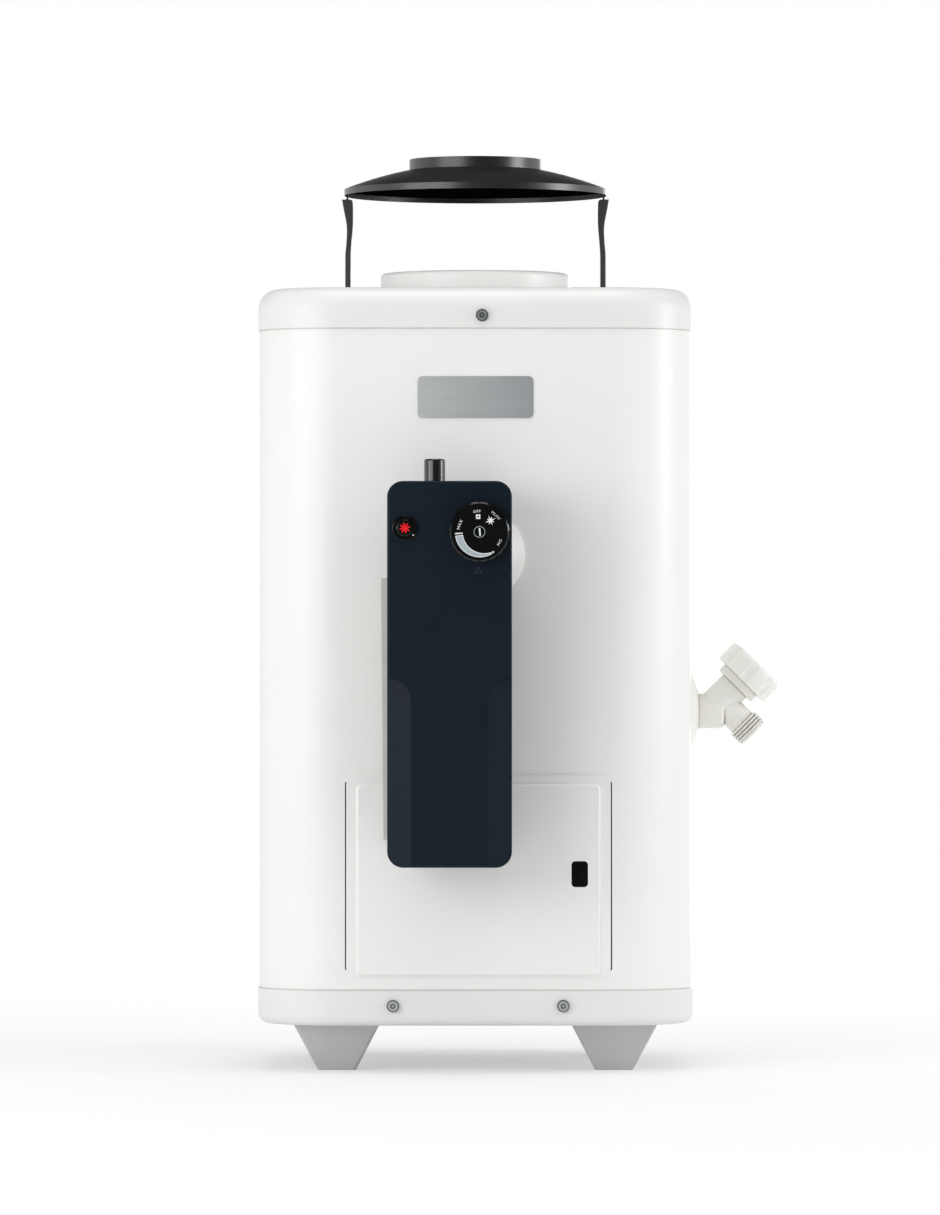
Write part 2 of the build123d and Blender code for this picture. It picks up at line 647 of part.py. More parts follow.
def make_foot_screws():
    """Pan-head screws that hold the feet to the pan from inside."""
    screws = Part()
    for x, y in FOOT_PLACES.values():
        head = rod((x, y, PAN_FLOOR), UPWARD, FOOT_SCREW_HEAD, FOOT_SCREW_HEAD_RADIUS)
        head = fillet(head.edges().group_by(Axis.Z)[-1], FOOT_SCREW_HEAD / 3)
        screws += head + rod((x, y, PAN_FLOOR), DOWNWARD, FOOT_SCREW_LENGTH, FOOT_SCREW_RADIUS)
    return screws


def make_name_plate():
    """Bare metal plate on the front of the jacket."""
    return slab(0, PLATE_Z, PLATE_WIDTH, PLATE_HEIGHT, PLATE_CORNER, (FRONT - PLATE_THICKNESS, FRONT))


def make_access_door():
    """Lift-off door: raised panel down to its lower edge, and two side flanges for the jacket's slits."""
    door = slab(DOOR_X, DOOR_Z, DOOR_WIDTH, DOOR_HEIGHT, DOOR_CORNER, (DOOR_BACK - SHEET, DOOR_BACK))
    raised_width = DOOR_WIDTH - 2 * DOOR_BORDER_SIDE
    raised_height = DOOR_HEIGHT - DOOR_BORDER_TOP - DOOR_BORDER_BOTTOM
    raised_z = DOOR_BOTTOM + DOOR_BORDER_BOTTOM + raised_height / 2
    raised_y = (DOOR_FACE, DOOR_BACK - SHEET)
    panel = slab(DOOR_X, raised_z, raised_width, raised_height, DOOR_RAISE_CORNER, raised_y)
    panel = chamfer(panel.edges().group_by(Axis.Y)[0], DOOR_RAISE * 0.6)
    door += panel
    hollow = (DOOR_FACE + SHEET, DOOR_BACK + OVERCUT)
    door -= slab(DOOR_X, raised_z, raised_width - 4 * SHEET, raised_height - 4 * SHEET, DOOR_RAISE_CORNER,
                 hollow)
    flange_z = (DOOR_BOTTOM + DOOR_FLANGE_END, DOOR_TOP - DOOR_FLANGE_END)
    flange_y = (DOOR_BACK, DOOR_BACK + DOOR_FLANGE_DEPTH)
    for side in (-1, 1):
        edges = sorted((DOOR_X + side * DOOR_WIDTH / 2, DOOR_X + side * (DOOR_WIDTH / 2 - SHEET)))
        door += block(edges, flange_y, flange_z)
    sight = (DOOR_FACE - OVERCUT, DOOR_FACE + SHEET + OVERCUT)
    return door - slab(SIGHT_X, SIGHT_Z, SIGHT_WIDTH, SIGHT_HEIGHT, SIGHT_CORNER, sight)


def make_sight_window():
    """Dark pane behind the sight slot of the door."""
    width = SIGHT_WIDTH + 2 * PANE_MARGIN
    height = SIGHT_HEIGHT + 2 * PANE_MARGIN
    back = DOOR_FACE + SHEET
    return slab(SIGHT_X, SIGHT_Z, width, height, SIGHT_CORNER, (back, back + PANE_THICKNESS))


# Tank, flue and water connections

NIPPLES = {
    "cold_inlet_nipple": (NIPPLE_SPACING / 2, COLD_Z),
    "hot_outlet_nipple": (-NIPPLE_SPACING / 2, HOT_Z),
}
NIPPLE_BOSS_END = sqrt(TANK_RADIUS**2 - (NIPPLE_SPACING / 2 - NIPPLE_RADIUS - BOSS_WALL) ** 2) + BOSS_STAND
ANODE_BOSS_TOP = TANK_TOP + TOP_HEAD_RISE
FRONT_BOSS_END = -TANK_RADIUS - BOSS_STAND
DRAIN_BOSS_END = TANK_RADIUS + BOSS_STAND


def tank_form(inset):
    """Tank envelope with coned heads, inset by a wall thickness, down to the flue's hole."""
    hole = FLUE_RADIUS + FIXED_GAP
    radius = TANK_RADIUS - inset
    return turned([
        (hole, TANK_BOTTOM + BOTTOM_HEAD_RISE + inset),
        (radius, TANK_BOTTOM + inset),
        (radius, TANK_TOP - inset),
        (hole, TANK_TOP + TOP_HEAD_RISE - inset),
    ])


def make_water_tank():
    """Welded tank with bosses for the thermostat, the drain, the two pipes and the anode."""
    inner_reach = TANK_RADIUS / 2
    tank = tank_form(0)
    tank += rod((CONTROL_X, -inner_reach, THERMOSTAT_Z), FRONTWARD, -FRONT_BOSS_END - inner_reach,
                SHANK_RADIUS + BOSS_WALL)
    tank += rod((inner_reach, 0, DRAIN_Z), RIGHTWARD, DRAIN_BOSS_END - inner_reach,
                DRAIN_SHANK_RADIUS + BOSS_WALL)
    for x, z in NIPPLES.values():
        tank += rod((x, inner_reach, z), REARWARD, NIPPLE_BOSS_END - inner_reach, NIPPLE_RADIUS + BOSS_WALL)
    anode_seat = (ANODE_X, ANODE_Y, TANK_TOP - TANK_WALL)
    tank += rod(anode_seat, UPWARD, ANODE_BOSS_TOP - anode_seat[2], ANODE_RADIUS + BOSS_WALL)
    tank -= tank_form(TANK_WALL)
    tank -= rod((CONTROL_X, -inner_reach, THERMOSTAT_Z), FRONTWARD, TANK_RADIUS, SHANK_RADIUS + FIXED_GAP)
    tank -= rod((inner_reach, 0, DRAIN_Z), RIGHTWARD, TANK_RADIUS, DRAIN_SHANK_RADIUS + FIXED_GAP)
    for x, z in NIPPLES.values():
        tank -= rod((x, inner_reach, z), REARWARD, TANK_RADIUS, NIPPLE_RADIUS + FIXED_GAP)
    return tank - rod(anode_seat, UPWARD, TANK_RADIUS, ANODE_RADIUS + FIXED_GAP) \
        - rod(anode_seat, DOWNWARD, TANK_WALL, ANODE_RADIUS + FIXED_GAP)


def make_flue_tube():
    """Central flue through the tank, up to the collar on the cap."""
    bottom = TANK_BOTTOM + BOTTOM_HEAD_RISE - FLUE_BELOW_HEAD
    return pipe((0, 0, bottom), UPWARD, FLUE_TOP - bottom, FLUE_RADIUS, FLUE_RADIUS - FLUE_WALL)


def make_flue_baffle():
    """Zigzag strip that slows the flue gas, held by the flue's wall."""
    top = FLUE_TOP - BAFFLE_TOP_DROP
    front = [(-BAFFLE_SHEET / 2 + BAFFLE_SWING * (-1) ** fold, top - BAFFLE_PITCH * fold)
             for fold in range(BAFFLE_FOLDS + 1)]
    back = [(y + BAFFLE_SHEET, z) for y, z in reversed(front)]
    corners = [(0, y, z) for y, z in front + back]
    half = sqrt((FLUE_RADIUS - FLUE_WALL) ** 2 - (BAFFLE_SWING + BAFFLE_SHEET) ** 2) - FIXED_GAP
    return extrude(make_face(Polyline(*corners, close=True)), half, both=True)


def make_anode_rod():
    """Sacrificial rod hung from a hexagon plug in the top head."""
    plug = hexagon((ANODE_X, ANODE_Y, ANODE_BOSS_TOP), UPWARD, ANODE_HEX, ANODE_HEX_FLATS)
    length = ANODE_BOSS_TOP - TANK_BOTTOM - ANODE_END_GAP
    return plug + rod((ANODE_X, ANODE_Y, ANODE_BOSS_TOP), DOWNWARD, length, ANODE_RADIUS)


def make_nipple(x, z):
    """Pipe nipple from a tank boss out through the back of the jacket, with a threaded free end."""
    start = NIPPLE_BOSS_END - NIPPLE_THREAD_GRIP
    thread_start = REAR + NIPPLE_STAND - NIPPLE_THREAD
    nipple = rod((x, start, z), REARWARD, thread_start - start, NIPPLE_RADIUS)
    nipple += rod((x, thread_start, z), REARWARD, NIPPLE_THREAD, NIPPLE_THREAD_RADIUS)
    return nipple - rod((x, start - OVERCUT, z), REARWARD, BODY_DEPTH, NIPPLE_BORE_RADIUS)


def make_pipe_rings():
    """Plastic rings that trim the two pipe holes in the back of the jacket."""
    rings = Part()
    for x, z in NIPPLES.values():
        ring = pipe((x, REAR, z), REARWARD, RING_THICKNESS, RING_RADIUS, NIPPLE_RADIUS + SOFT_GAP)
        rings += ring
    return rings


def make_insulation():
    """Glass-wool filling between the tank and the jacket."""
    wool = casing_block(SHEET + SOFT_GAP, INSULATION_BOTTOM, TANK_TOP)
    wool -= rod((0, 0, INSULATION_BOTTOM - OVERCUT), UPWARD, TANK_SHELL_HEIGHT, TANK_RADIUS + SOFT_GAP)
    wool -= rod((CONTROL_X, 0, THERMOSTAT_Z), FRONTWARD, BODY_DEPTH, SHANK_RADIUS + BOSS_WALL + SOFT_GAP)
    wool -= rod((0, 0, DRAIN_Z), RIGHTWARD, BODY_WIDTH, DRAIN_SHANK_RADIUS + BOSS_WALL + SOFT_GAP)
    for x, z in NIPPLES.values():
        wool -= rod((x, 0, z), REARWARD, BODY_DEPTH, NIPPLE_RADIUS + BOSS_WALL + SOFT_GAP)
    for places in (PAN_SCREWS, CAP_SCREWS):
        wool -= skirt_holes(places)
    return wool


# Flue collar and draft hood

LEG_X = HOOD_RADIUS - LEG_INSET


def make_flue_collar():
    """Raised white collar round the flue outlet on the cap."""
    outer = rod((0, 0, CAP_TOP), UPWARD, COLLAR_HEIGHT, COLLAR_RADIUS)
    outer = fillet(outer.edges().group_by(Axis.Z)[-1], COLLAR_EDGE_RADIUS)
    inner = rod((0, 0, CAP_TOP), UPWARD, COLLAR_HEIGHT - SHEET, COLLAR_RADIUS - SHEET)
    inner = fillet(inner.edges().group_by(Axis.Z)[-1], COLLAR_EDGE_RADIUS - SHEET)
    return outer - inner - rod((0, 0, CAP_TOP), UPWARD, COLLAR_HEIGHT + OVERCUT, FLUE_RADIUS + SOFT_GAP)


def hood_form(inset):
    """Solid of revolution of the hood: rim, slightly crowned cone and spigot, inset by a wall thickness."""
    rim_top = HOOD_BOTTOM + HOOD_RIM - inset
    spigot_foot = HOOD_BOTTOM + HOOD_RIM + HOOD_CONE_RISE - inset
    top = HOOD_BOTTOM + HOOD_RIM + HOOD_CONE_RISE + HOOD_SPIGOT + min(inset, OVERCUT)
    bottom = HOOD_BOTTOM - min(inset, OVERCUT)
    rim = HOOD_RADIUS - inset
    spigot = HOOD_SPIGOT_RADIUS - inset
    slope = hypot(rim - spigot, HOOD_CONE_RISE)
    middle = (
        (rim + spigot) / 2 + HOOD_CROWN * HOOD_CONE_RISE / slope,
        0,
        (rim_top + spigot_foot) / 2 + HOOD_CROWN * (rim - spigot) / slope,
    )
    crown = ThreePointArc((rim, 0, rim_top), middle, (spigot, 0, spigot_foot))
    lower = Polyline((0, 0, top), (0, 0, bottom), (rim, 0, bottom), (rim, 0, rim_top))
    upper = Polyline((spigot, 0, spigot_foot), (spigot, 0, top), (0, 0, top))
    return revolve(make_face([*lower.edges(), crown, *upper.edges()]), Axis.Z)


def make_draft_hood():
    """Spun draft hood with an open spigot for the vent pipe."""
    return hood_form(0) - hood_form(HOOD_SHEET)


def make_hood_leg(side):
    """Strip leg, flat at the top and edge-on at the foot, with a tab in the cap and a tongue in the rim."""
    top = HOOD_BOTTOM - LEG_BELOW_RIM
    levels = [
        (CAP_TOP, LEG_THICKNESS_FOOT, LEG_WIDTH_FOOT, 0),
        (CAP_TOP + LEG_STRAIGHT, LEG_THICKNESS_FOOT, LEG_WIDTH_FOOT, 0),
        (CAP_TOP + LEG_STRAIGHT + LEG_TWIST, LEG_THICKNESS_FOOT, LEG_WIDTH_FOOT / 2, -LEG_SWAY),
        (top, LEG_WIDTH_TOP, LEG_THICKNESS_TOP, 0),
    ]
    sections = [
        Pos(side * (LEG_X + sway), 0, z) * Rectangle(width, depth) for z, width, depth, sway in levels
    ]
    leg = loft(sections[:2], ruled=True) + loft(sections[1:])
    leg += block(
        (side * LEG_X - LEG_TAB_THICKNESS / 2, side * LEG_X + LEG_TAB_THICKNESS / 2),
        (-LEG_TAB_WIDTH / 2, LEG_TAB_WIDTH / 2),
        (CAP_TOP - LEG_TAB_DEPTH, CAP_TOP),
    )
    rim_inside = sqrt((HOOD_RADIUS - HOOD_SHEET) ** 2 - (LEG_TONGUE_WIDTH / 2) ** 2)
    tongue_out = rim_inside - FIXED_GAP
    tongue_x = sorted((side * tongue_out, side * (tongue_out - LEG_TONGUE)))
    tongue_y = (-LEG_THICKNESS_TOP / 2, LEG_THICKNESS_TOP / 2)
    return leg + block(tongue_x, tongue_y, (top, HOOD_BOTTOM + HOOD_RIM - 2 * HOOD_SHEET))


# Gas control on the front

def make_thermostat_dome():
    """Domed plastic dam round the thermostat shank, on the front of the jacket."""
    bore = SHANK_RADIUS + SOFT_GAP
    dome = turned([
        (bore, 0),
        (DOME_RADIUS, 0),
        (DOME_RADIUS, DOME_LIP),
        (DOME_TOP_RADIUS, DOME_PROUD),
        (bore, DOME_PROUD),
    ])
    dome = fillet(dome.edges().filter_by(GeomType.CIRCLE).group_by(Axis.Z)[-1].sort_by(SortBy.RADIUS)[-1:],
                  DOME_PROUD / 2)
    return Plane(origin=(CONTROL_X, FRONT, THERMOSTAT_Z), z_dir=FRONTWARD) * dome


def bracket_screw_places():
    """Seats of the two bracket screws on the left side of the valve."""
    y = COVER_BACK - BRACKET_TAB_DEPTH / 2
    low = VALVE_BOTTOM + BRACKET_SCREW_HEAD_RADIUS + BRACKET_SHEET
    high = BRACKET_TOP - BRACKET_SCREW_HEAD_RADIUS - BRACKET_SHEET
    return [(VALVE_LEFT - FIXED_GAP - BRACKET_SHEET, y, z) for z in (low, high)]


def make_gas_valve():
    """Die-cast valve body with a boss for the dial's spindle and a guide for the pilot button."""
    valve = block((VALVE_LEFT, VALVE_RIGHT), (VALVE_FRONT, VALVE_BACK), (VALVE_BOTTOM, VALVE_TOP))
    valve = fillet(valve.edges().filter_by(Axis.Y), VALVE_EDGE)
    valve += rod((KNOB_X, VALVE_FRONT, KNOB_Z), FRONTWARD, SPINDLE_BOSS, SPINDLE_BOSS_RADIUS)
    boss_face = VALVE_FRONT - SPINDLE_BOSS
    valve -= rod((KNOB_X, boss_face - OVERCUT, KNOB_Z), REARWARD, SPINDLE_BOSS + SPINDLE_DEPTH + OVERCUT,
                 SPINDLE_RADIUS + RUNNING_GAP)
    valve -= rod((PILOT_X, VALVE_FRONT - OVERCUT, PILOT_Z), REARWARD,
                 PILOT_STEM_GRIP + PILOT_TRAVEL + 2 * OVERCUT, PILOT_STEM_RADIUS + SLIDE_GAP)
    for x, y, z in bracket_screw_places():
        valve -= rod((x, y, z), RIGHTWARD, BRACKET_SCREW_LENGTH + OVERCUT, BRACKET_SCREW_RADIUS + FIXED_GAP)
    return valve


def make_thermostat_probe():
    """Threaded shank from the valve into the tank, with the sensing probe ahead of it."""
    end = FRONT_BOSS_END + SHANK_GRIP
    shank = rod((CONTROL_X, VALVE_BACK, THERMOSTAT_Z), REARWARD, end - VALVE_BACK, SHANK_RADIUS)
    tip = -FLUE_RADIUS - PROBE_FLUE_GAP
    return shank + rod((CONTROL_X, end, THERMOSTAT_Z), REARWARD, tip - end, PROBE_RADIUS)


def make_gas_inlet_fitting():
    """Flare fitting under the valve for the gas supply."""
    fitting = hexagon((INLET_X, INLET_Y, VALVE_BOTTOM), DOWNWARD, INLET_HEX, INLET_FLATS)
    fitting += rod((INLET_X, INLET_Y, VALVE_BOTTOM - INLET_HEX), DOWNWARD, INLET_LENGTH, INLET_RADIUS)
    depth = INLET_HEX + INLET_LENGTH + OVERCUT
    return fitting - rod((INLET_X, INLET_Y, VALVE_BOTTOM - OVERCUT), DOWNWARD, depth, INLET_BORE_RADIUS)


def cover_bevel(side, inset):
    """Wedge taken off one lower front corner of the cover, with a rounded upper end."""
    reach = hypot(1 / BEVEL_WIDTH, 1 / BEVEL_DEPTH)
    width = BEVEL_WIDTH * (1 + inset * (reach - 1 / BEVEL_DEPTH)) - inset
    depth = BEVEL_DEPTH * (1 + inset * (reach - 1 / BEVEL_WIDTH)) - inset
    edge = COVER_X + side * (COVER_WIDTH / 2 - inset)
    face = COVER_FRONT + inset
    low = COVER_BOTTOM - OVERCUT
    spill = OVERCUT / depth
    corners = [
        (edge - side * width, face, low),
        (edge - side * width - side * width * spill, face - OVERCUT, low),
        (edge + side * OVERCUT, face - OVERCUT, low),
        (edge + side * OVERCUT, face + depth + depth * OVERCUT / width, low),
    ]
    wedge = extrude(make_face(Polyline(*corners, close=True)), BEVEL_TOP + inset - low, dir=UPWARD)
    shoulder = BEVEL_TOP + inset - width
    far = edge + side * 2 * OVERCUT
    near = edge - side * width - side * 2 * width * spill
    keep = block(sorted((near, far)), (face - 2 * OVERCUT, COVER_BACK), (low, shoulder))
    keep += rod((edge, face - 2 * OVERCUT, shoulder), REARWARD, COVER_DEPTH, width)
    return wedge & keep


def cover_form(inset):
    """Outer or inner form of the cover, open towards the back."""
    back = COVER_BACK + (OVERCUT if inset else 0)
    form = slab(COVER_X, COVER_Z, COVER_WIDTH - 2 * inset, COVER_HEIGHT - 2 * inset, COVER_CORNER - inset,
                (COVER_FRONT + inset, back))
    if not inset:
        form = fillet(form.edges().group_by(Axis.Y)[0], COVER_EDGE)
    return form - cover_bevel(-1, inset) - cover_bevel(1, inset)


def make_control_cover():
    """Black moulded cover with bevelled lower sides and holes for the dial and the two buttons."""
    cover = cover_form(0) - cover_form(COVER_WALL)
    through = COVER_WALL + 2 * OVERCUT
    front = COVER_FRONT - OVERCUT
    cover -= rod((KNOB_X, front, KNOB_Z), REARWARD, through, SPINDLE_RADIUS + 2 * SLIDE_GAP)
    cover -= rod((PILOT_X, front, PILOT_Z), REARWARD, through, PILOT_RADIUS + SLIDE_GAP)
    return cover - rod((IGNITER_X, IGNITER_Y, IGNITER_CEILING - OVERCUT), UPWARD, through,
                       IGNITER_RADIUS + SLIDE_GAP)


def make_control_bracket():
    """Steel strap beside the valve that carries the cover's left edge."""
    right = VALVE_LEFT - FIXED_GAP
    corners = [
        (COVER_LEFT - BRACKET_SHOWS_TOP, COVER_BACK, BRACKET_TOP),
        (right, COVER_BACK, BRACKET_TOP),
        (right, COVER_BACK, BRACKET_BOTTOM),
        (COVER_LEFT - BRACKET_SHOWS_BOTTOM, COVER_BACK, BRACKET_BOTTOM),
    ]
    strap = extrude(make_face(Polyline(*corners, close=True)), BRACKET_SHEET, dir=REARWARD)
    strap += block((right - BRACKET_SHEET, right), (COVER_BACK - BRACKET_TAB_DEPTH, COVER_BACK),
                   (VALVE_BOTTOM, BRACKET_TOP))
    for x, y, z in bracket_screw_places():
        strap -= rod((x - OVERCUT, y, z), RIGHTWARD, BRACKET_SHEET + 2 * OVERCUT,
                     BRACKET_SCREW_RADIUS + FIXED_GAP)
    return strap


def make_bracket_screws():
    """Two pan-head screws that hold the bracket to the valve."""
    screws = Part()
    for x, y, z in bracket_screw_places():
        screws += rod((x, y, z), LEFTWARD, BRACKET_SCREW_HEAD, BRACKET_SCREW_HEAD_RADIUS) \
            + rod((x, y, z), RIGHTWARD, BRACKET_SCREW_LENGTH, BRACKET_SCREW_RADIUS)
    return screws


def make_valve_spindle():
    """Spindle that the dial turns, running in the valve's boss."""
    start = VALVE_FRONT + SPINDLE_DEPTH - RUNNING_GAP
    end = COVER_FRONT - KNOB_GAP - KNOB_HEIGHT + KNOB_FACE
    return rod((KNOB_X, start, KNOB_Z), FRONTWARD, start - end, SPINDLE_RADIUS)


def make_control_knob():
    """Round dial with a fluted edge and a sunk face, pushed on the spindle."""
    back = COVER_FRONT - KNOB_GAP
    face = back - KNOB_HEIGHT
    knob = rod((KNOB_X, back, KNOB_Z), FRONTWARD, KNOB_HEIGHT, KNOB_RADIUS)
    knob = chamfer(knob.edges().group_by(Axis.Y)[0], KNOB_EDGE)
    flute_ring = PolarLocations(KNOB_RADIUS + KNOB_FLUTE_RADIUS * 0.5, KNOB_FLUTES)
    plane = Plane(origin=(KNOB_X, back + OVERCUT, KNOB_Z), x_dir=(1, 0, 0), z_dir=FRONTWARD)
    for place in flute_ring:
        knob -= plane * place * Cylinder(KNOB_FLUTE_RADIUS, KNOB_HEIGHT + 2 * OVERCUT, align=FROM_BASE)
    knob -= rod((KNOB_X, face - OVERCUT, KNOB_Z), REARWARD, OVERCUT + DIAL_RECESS, KNOB_RADIUS - DIAL_RIM)
    return knob - rod((KNOB_X, back + OVERCUT, KNOB_Z), FRONTWARD, KNOB_HEIGHT - KNOB_FACE + OVERCUT,
                      SPINDLE_RADIUS + RUNNING_GAP)


def make_pilot_button():
    """Push button for the pilot gas, with a stem guided in the valve."""
    face = COVER_FRONT - PILOT_PROUD
    button = rod((PILOT_X, face, PILOT_Z), REARWARD, PILOT_CAP, PILOT_RADIUS)
    button = fillet(button.edges().group_by(Axis.Y)[0], KNOB_EDGE)
    stem = VALVE_FRONT + PILOT_STEM_GRIP - face
    return button + rod((PILOT_X, face + PILOT_CAP / 2, PILOT_Z), REARWARD, stem - PILOT_CAP / 2,
                        PILOT_STEM_RADIUS)


def make_pilot_bezel():
    """Ring round the pilot button on the face of the cover."""
    ring = pipe((PILOT_X, COVER_FRONT, PILOT_Z), FRONTWARD, BEZEL_PROUD, BEZEL_RADIUS,
                PILOT_RADIUS + SLIDE_GAP)
    outer = ring.edges().group_by(Axis.Y)[0].sort_by(SortBy.RADIUS)[-1:]
    return fillet(outer, BEZEL_PROUD / 3)


def make_igniter_body():
    """Sleeve of the piezo igniter, under the top wall of the cover."""
    bottom = IGNITER_CEILING - IGNITER_BODY
    body = rod((IGNITER_X, IGNITER_Y, bottom), UPWARD, IGNITER_BODY, IGNITER_BODY_RADIUS)
    return body - rod((IGNITER_X, IGNITER_Y, bottom + IGNITER_FLOOR), UPWARD, IGNITER_BODY,
                      IGNITER_RADIUS + SLIDE_GAP)


def make_igniter_button():
    """Plunger of the piezo igniter, pressed down through the top of the cover."""
    bottom = IGNITER_CEILING - IGNITER_GRIP
    plunger = rod((IGNITER_X, IGNITER_Y, bottom), UPWARD, COVER_TOP + IGNITER_PROUD - bottom,
                  IGNITER_RADIUS)
    return fillet(plunger.edges().group_by(Axis.Z)[-1], IGNITER_EDGE)


# Lines from the control to the burner

LINE_XS = (0.0, PILOT_LINE_X, THERMO_X, IGNITER_X)
LINE_RADII = (MANIFOLD_RADIUS, PILOT_LINE_RADIUS, THERMO_RADIUS, LEAD_RADIUS)


def grommet_slot(growth, y_pair):
    """Long slot in the jacket for the four lines, grown all round by a margin."""
    low = min(LINE_XS) - GROMMET_MARGIN - growth
    high = max(LINE_XS) + GROMMET_MARGIN + growth
    height = GROMMET_HEIGHT + 2 * growth
    return slab((low + high) / 2, TUBE_ENTRY_Z, high - low, height, height * 0.45, y_pair)


def make_tube_grommet():
    """Rubber grommet in the jacket's slot, with one hole for each line."""
    outside = (FRONT - GROMMET_LIP, FRONT)
    inside = (FRONT + SHEET, FRONT + SHEET + GROMMET_LIP)
    grommet = grommet_slot(0, (outside[0], inside[1]))
    grommet += grommet_slot(GROMMET_LIP_OVERHANG, outside) + grommet_slot(GROMMET_LIP_OVERHANG, inside)
    for x, radius in zip(LINE_XS, LINE_RADII):
        grommet -= rod((x, outside[0] - OVERCUT, TUBE_ENTRY_Z), REARWARD, SHEET + 4 * GROMMET_LIP,
                       radius + FIXED_GAP)
    return grommet


def line_route(x, start_y, start_z, ends):
    """Corners of a line: down inside the cover, through the jacket, down again and in to the burner."""
    route = [(x, start_y, start_z), (x, start_y, TUBE_ENTRY_Z), (x, TUBE_DROP_Y, TUBE_ENTRY_Z)]
    return route + [(x, TUBE_DROP_Y, BURNER_AXIS_Z)] + ends


def pilot_line(x, start_y, start_z, radius):
    """Thin line that ends upright at the pilot bracket."""
    ends = [(x, PILOT_Y, BURNER_AXIS_Z), (x, PILOT_Y, PILOT_FOOT_Z)]
    bends = [LINE_BEND, LINE_BEND, LINE_BEND, LINE_TURN_UP]
    return swept(line_route(x, start_y, start_z, ends), bends, radius)


def valve_nut(x, flats):
    """Compression nut on a line, against the underside of the valve."""
    return hexagon((x, LINE_Y, VALVE_BOTTOM), DOWNWARD, LINE_NUT, flats)


def make_manifold_tube():
    """Main gas tube from the valve to the burner's orifice."""
    end = (0, MIXER_MOUTH - ORIFICE_HEX, BURNER_AXIS_Z)
    tube = swept(line_route(0, LINE_Y, VALVE_BOTTOM, [end]), [MANIFOLD_BEND] * 3, MANIFOLD_RADIUS)
    return tube + valve_nut(0, MANIFOLD_NUT_FLATS)


def make_pilot_tube():
    """Pilot gas tube."""
    return pilot_line(PILOT_LINE_X, LINE_Y, VALVE_BOTTOM, PILOT_LINE_RADIUS) \
        + valve_nut(PILOT_LINE_X, PILOT_NUT_FLATS)


def make_thermocouple():
    """Thermocouple: copper lead with its nut, and the sensing tip standing in the pilot flame."""
    lead = pilot_line(THERMO_X, LINE_Y, VALVE_BOTTOM, THERMO_RADIUS) + valve_nut(THERMO_X, THERMO_NUT_FLATS)
    return lead + rod((THERMO_X, PILOT_Y, PILOT_FOOT_Z), UPWARD, THERMO_TIP_HEIGHT, THERMO_TIP_RADIUS)


def make_ignition_lead():
    """Spark lead from the igniter to the electrode."""
    return pilot_line(IGNITER_X, IGNITER_Y, IGNITER_CEILING - IGNITER_BODY, LEAD_RADIUS)


# Combustion chamber and burner

def make_combustion_chamber():
    """Round steel skirt that carries the tank on the pan, with a mouth for the burner."""
    chamber = pipe((0, 0, PAN_FLOOR), UPWARD, TANK_BOTTOM - PAN_FLOOR, TANK_RADIUS,
                   TANK_RADIUS - CHAMBER_WALL)
    half = CHAMBER_MOUTH_WIDTH / 2
    top = CHAMBER_MOUTH_BOTTOM + CHAMBER_MOUTH_HEIGHT
    return chamber - block((-half, half), (-TANK_RADIUS - OVERCUT, 0), (CHAMBER_MOUTH_BOTTOM, top))


def make_inner_door():
    """Curved inner door over the chamber's mouth, slotted for the lines."""
    low = CHAMBER_MOUTH_BOTTOM - INNER_DOOR_MARGIN
    height = CHAMBER_MOUTH_HEIGHT + 2 * INNER_DOOR_MARGIN
    inner = TANK_RADIUS + SOFT_GAP
    door = pipe((0, 0, low), UPWARD, height, inner + INNER_DOOR_SHEET, inner)
    half = CHAMBER_MOUTH_WIDTH / 2 + INNER_DOOR_MARGIN
    door &= block((-half, half), (-BODY_DEPTH, 0), (low, low + height))
    slot_low = min(LINE_XS) - GROMMET_MARGIN
    slot_high = max(LINE_XS) + GROMMET_MARGIN
    slot = slab((slot_low + slot_high) / 2, BURNER_AXIS_Z, slot_high - slot_low, GROMMET_HEIGHT,
                GROMMET_HEIGHT * 0.45, (-BODY_DEPTH, 0))
    return door - slot


def make_burner_body():
    """Burner casting: mixing tube with air windows, riser and dish."""
    def dish(inset):
        lift = inset
        return turned([
            (0, RISER_BOTTOM_Z + lift),
            (RISER_RADIUS - inset, RISER_BOTTOM_Z + lift),
            (RISER_RADIUS - inset, RISER_TOP_Z + lift / 2),
            (DISH_RADIUS - inset, RISER_TOP_Z + DISH_RISE + lift / 2),
            (DISH_RADIUS - inset, DISH_TOP_Z + (OVERCUT if inset else 0)),
            (0, DISH_TOP_Z + (OVERCUT if inset else 0)),
        ])

    body = rod((0, MIXER_MOUTH, BURNER_AXIS_Z), REARWARD, MIXER_LENGTH, MIXER_RADIUS) + dish(0)
    body -= dish(MIXER_WALL)
    body -= rod((0, MIXER_MOUTH + MIXER_WALL, BURNER_AXIS_Z), REARWARD, MIXER_LENGTH,
                MIXER_RADIUS - MIXER_WALL)
    window_y = (MIXER_MOUTH + 2 * MIXER_WALL, MIXER_MOUTH + 2 * MIXER_WALL + MIXER_WINDOW)
    window_z = (BURNER_AXIS_Z - MIXER_WINDOW_HEIGHT / 2, BURNER_AXIS_Z + MIXER_WINDOW_HEIGHT / 2)
    body -= block((-2 * MIXER_RADIUS, 2 * MIXER_RADIUS), window_y, window_z)
    return body - rod((0, MIXER_MOUTH - OVERCUT, BURNER_AXIS_Z), REARWARD, MIXER_WALL + 2 * OVERCUT,
                      ORIFICE_RADIUS + FIXED_GAP)


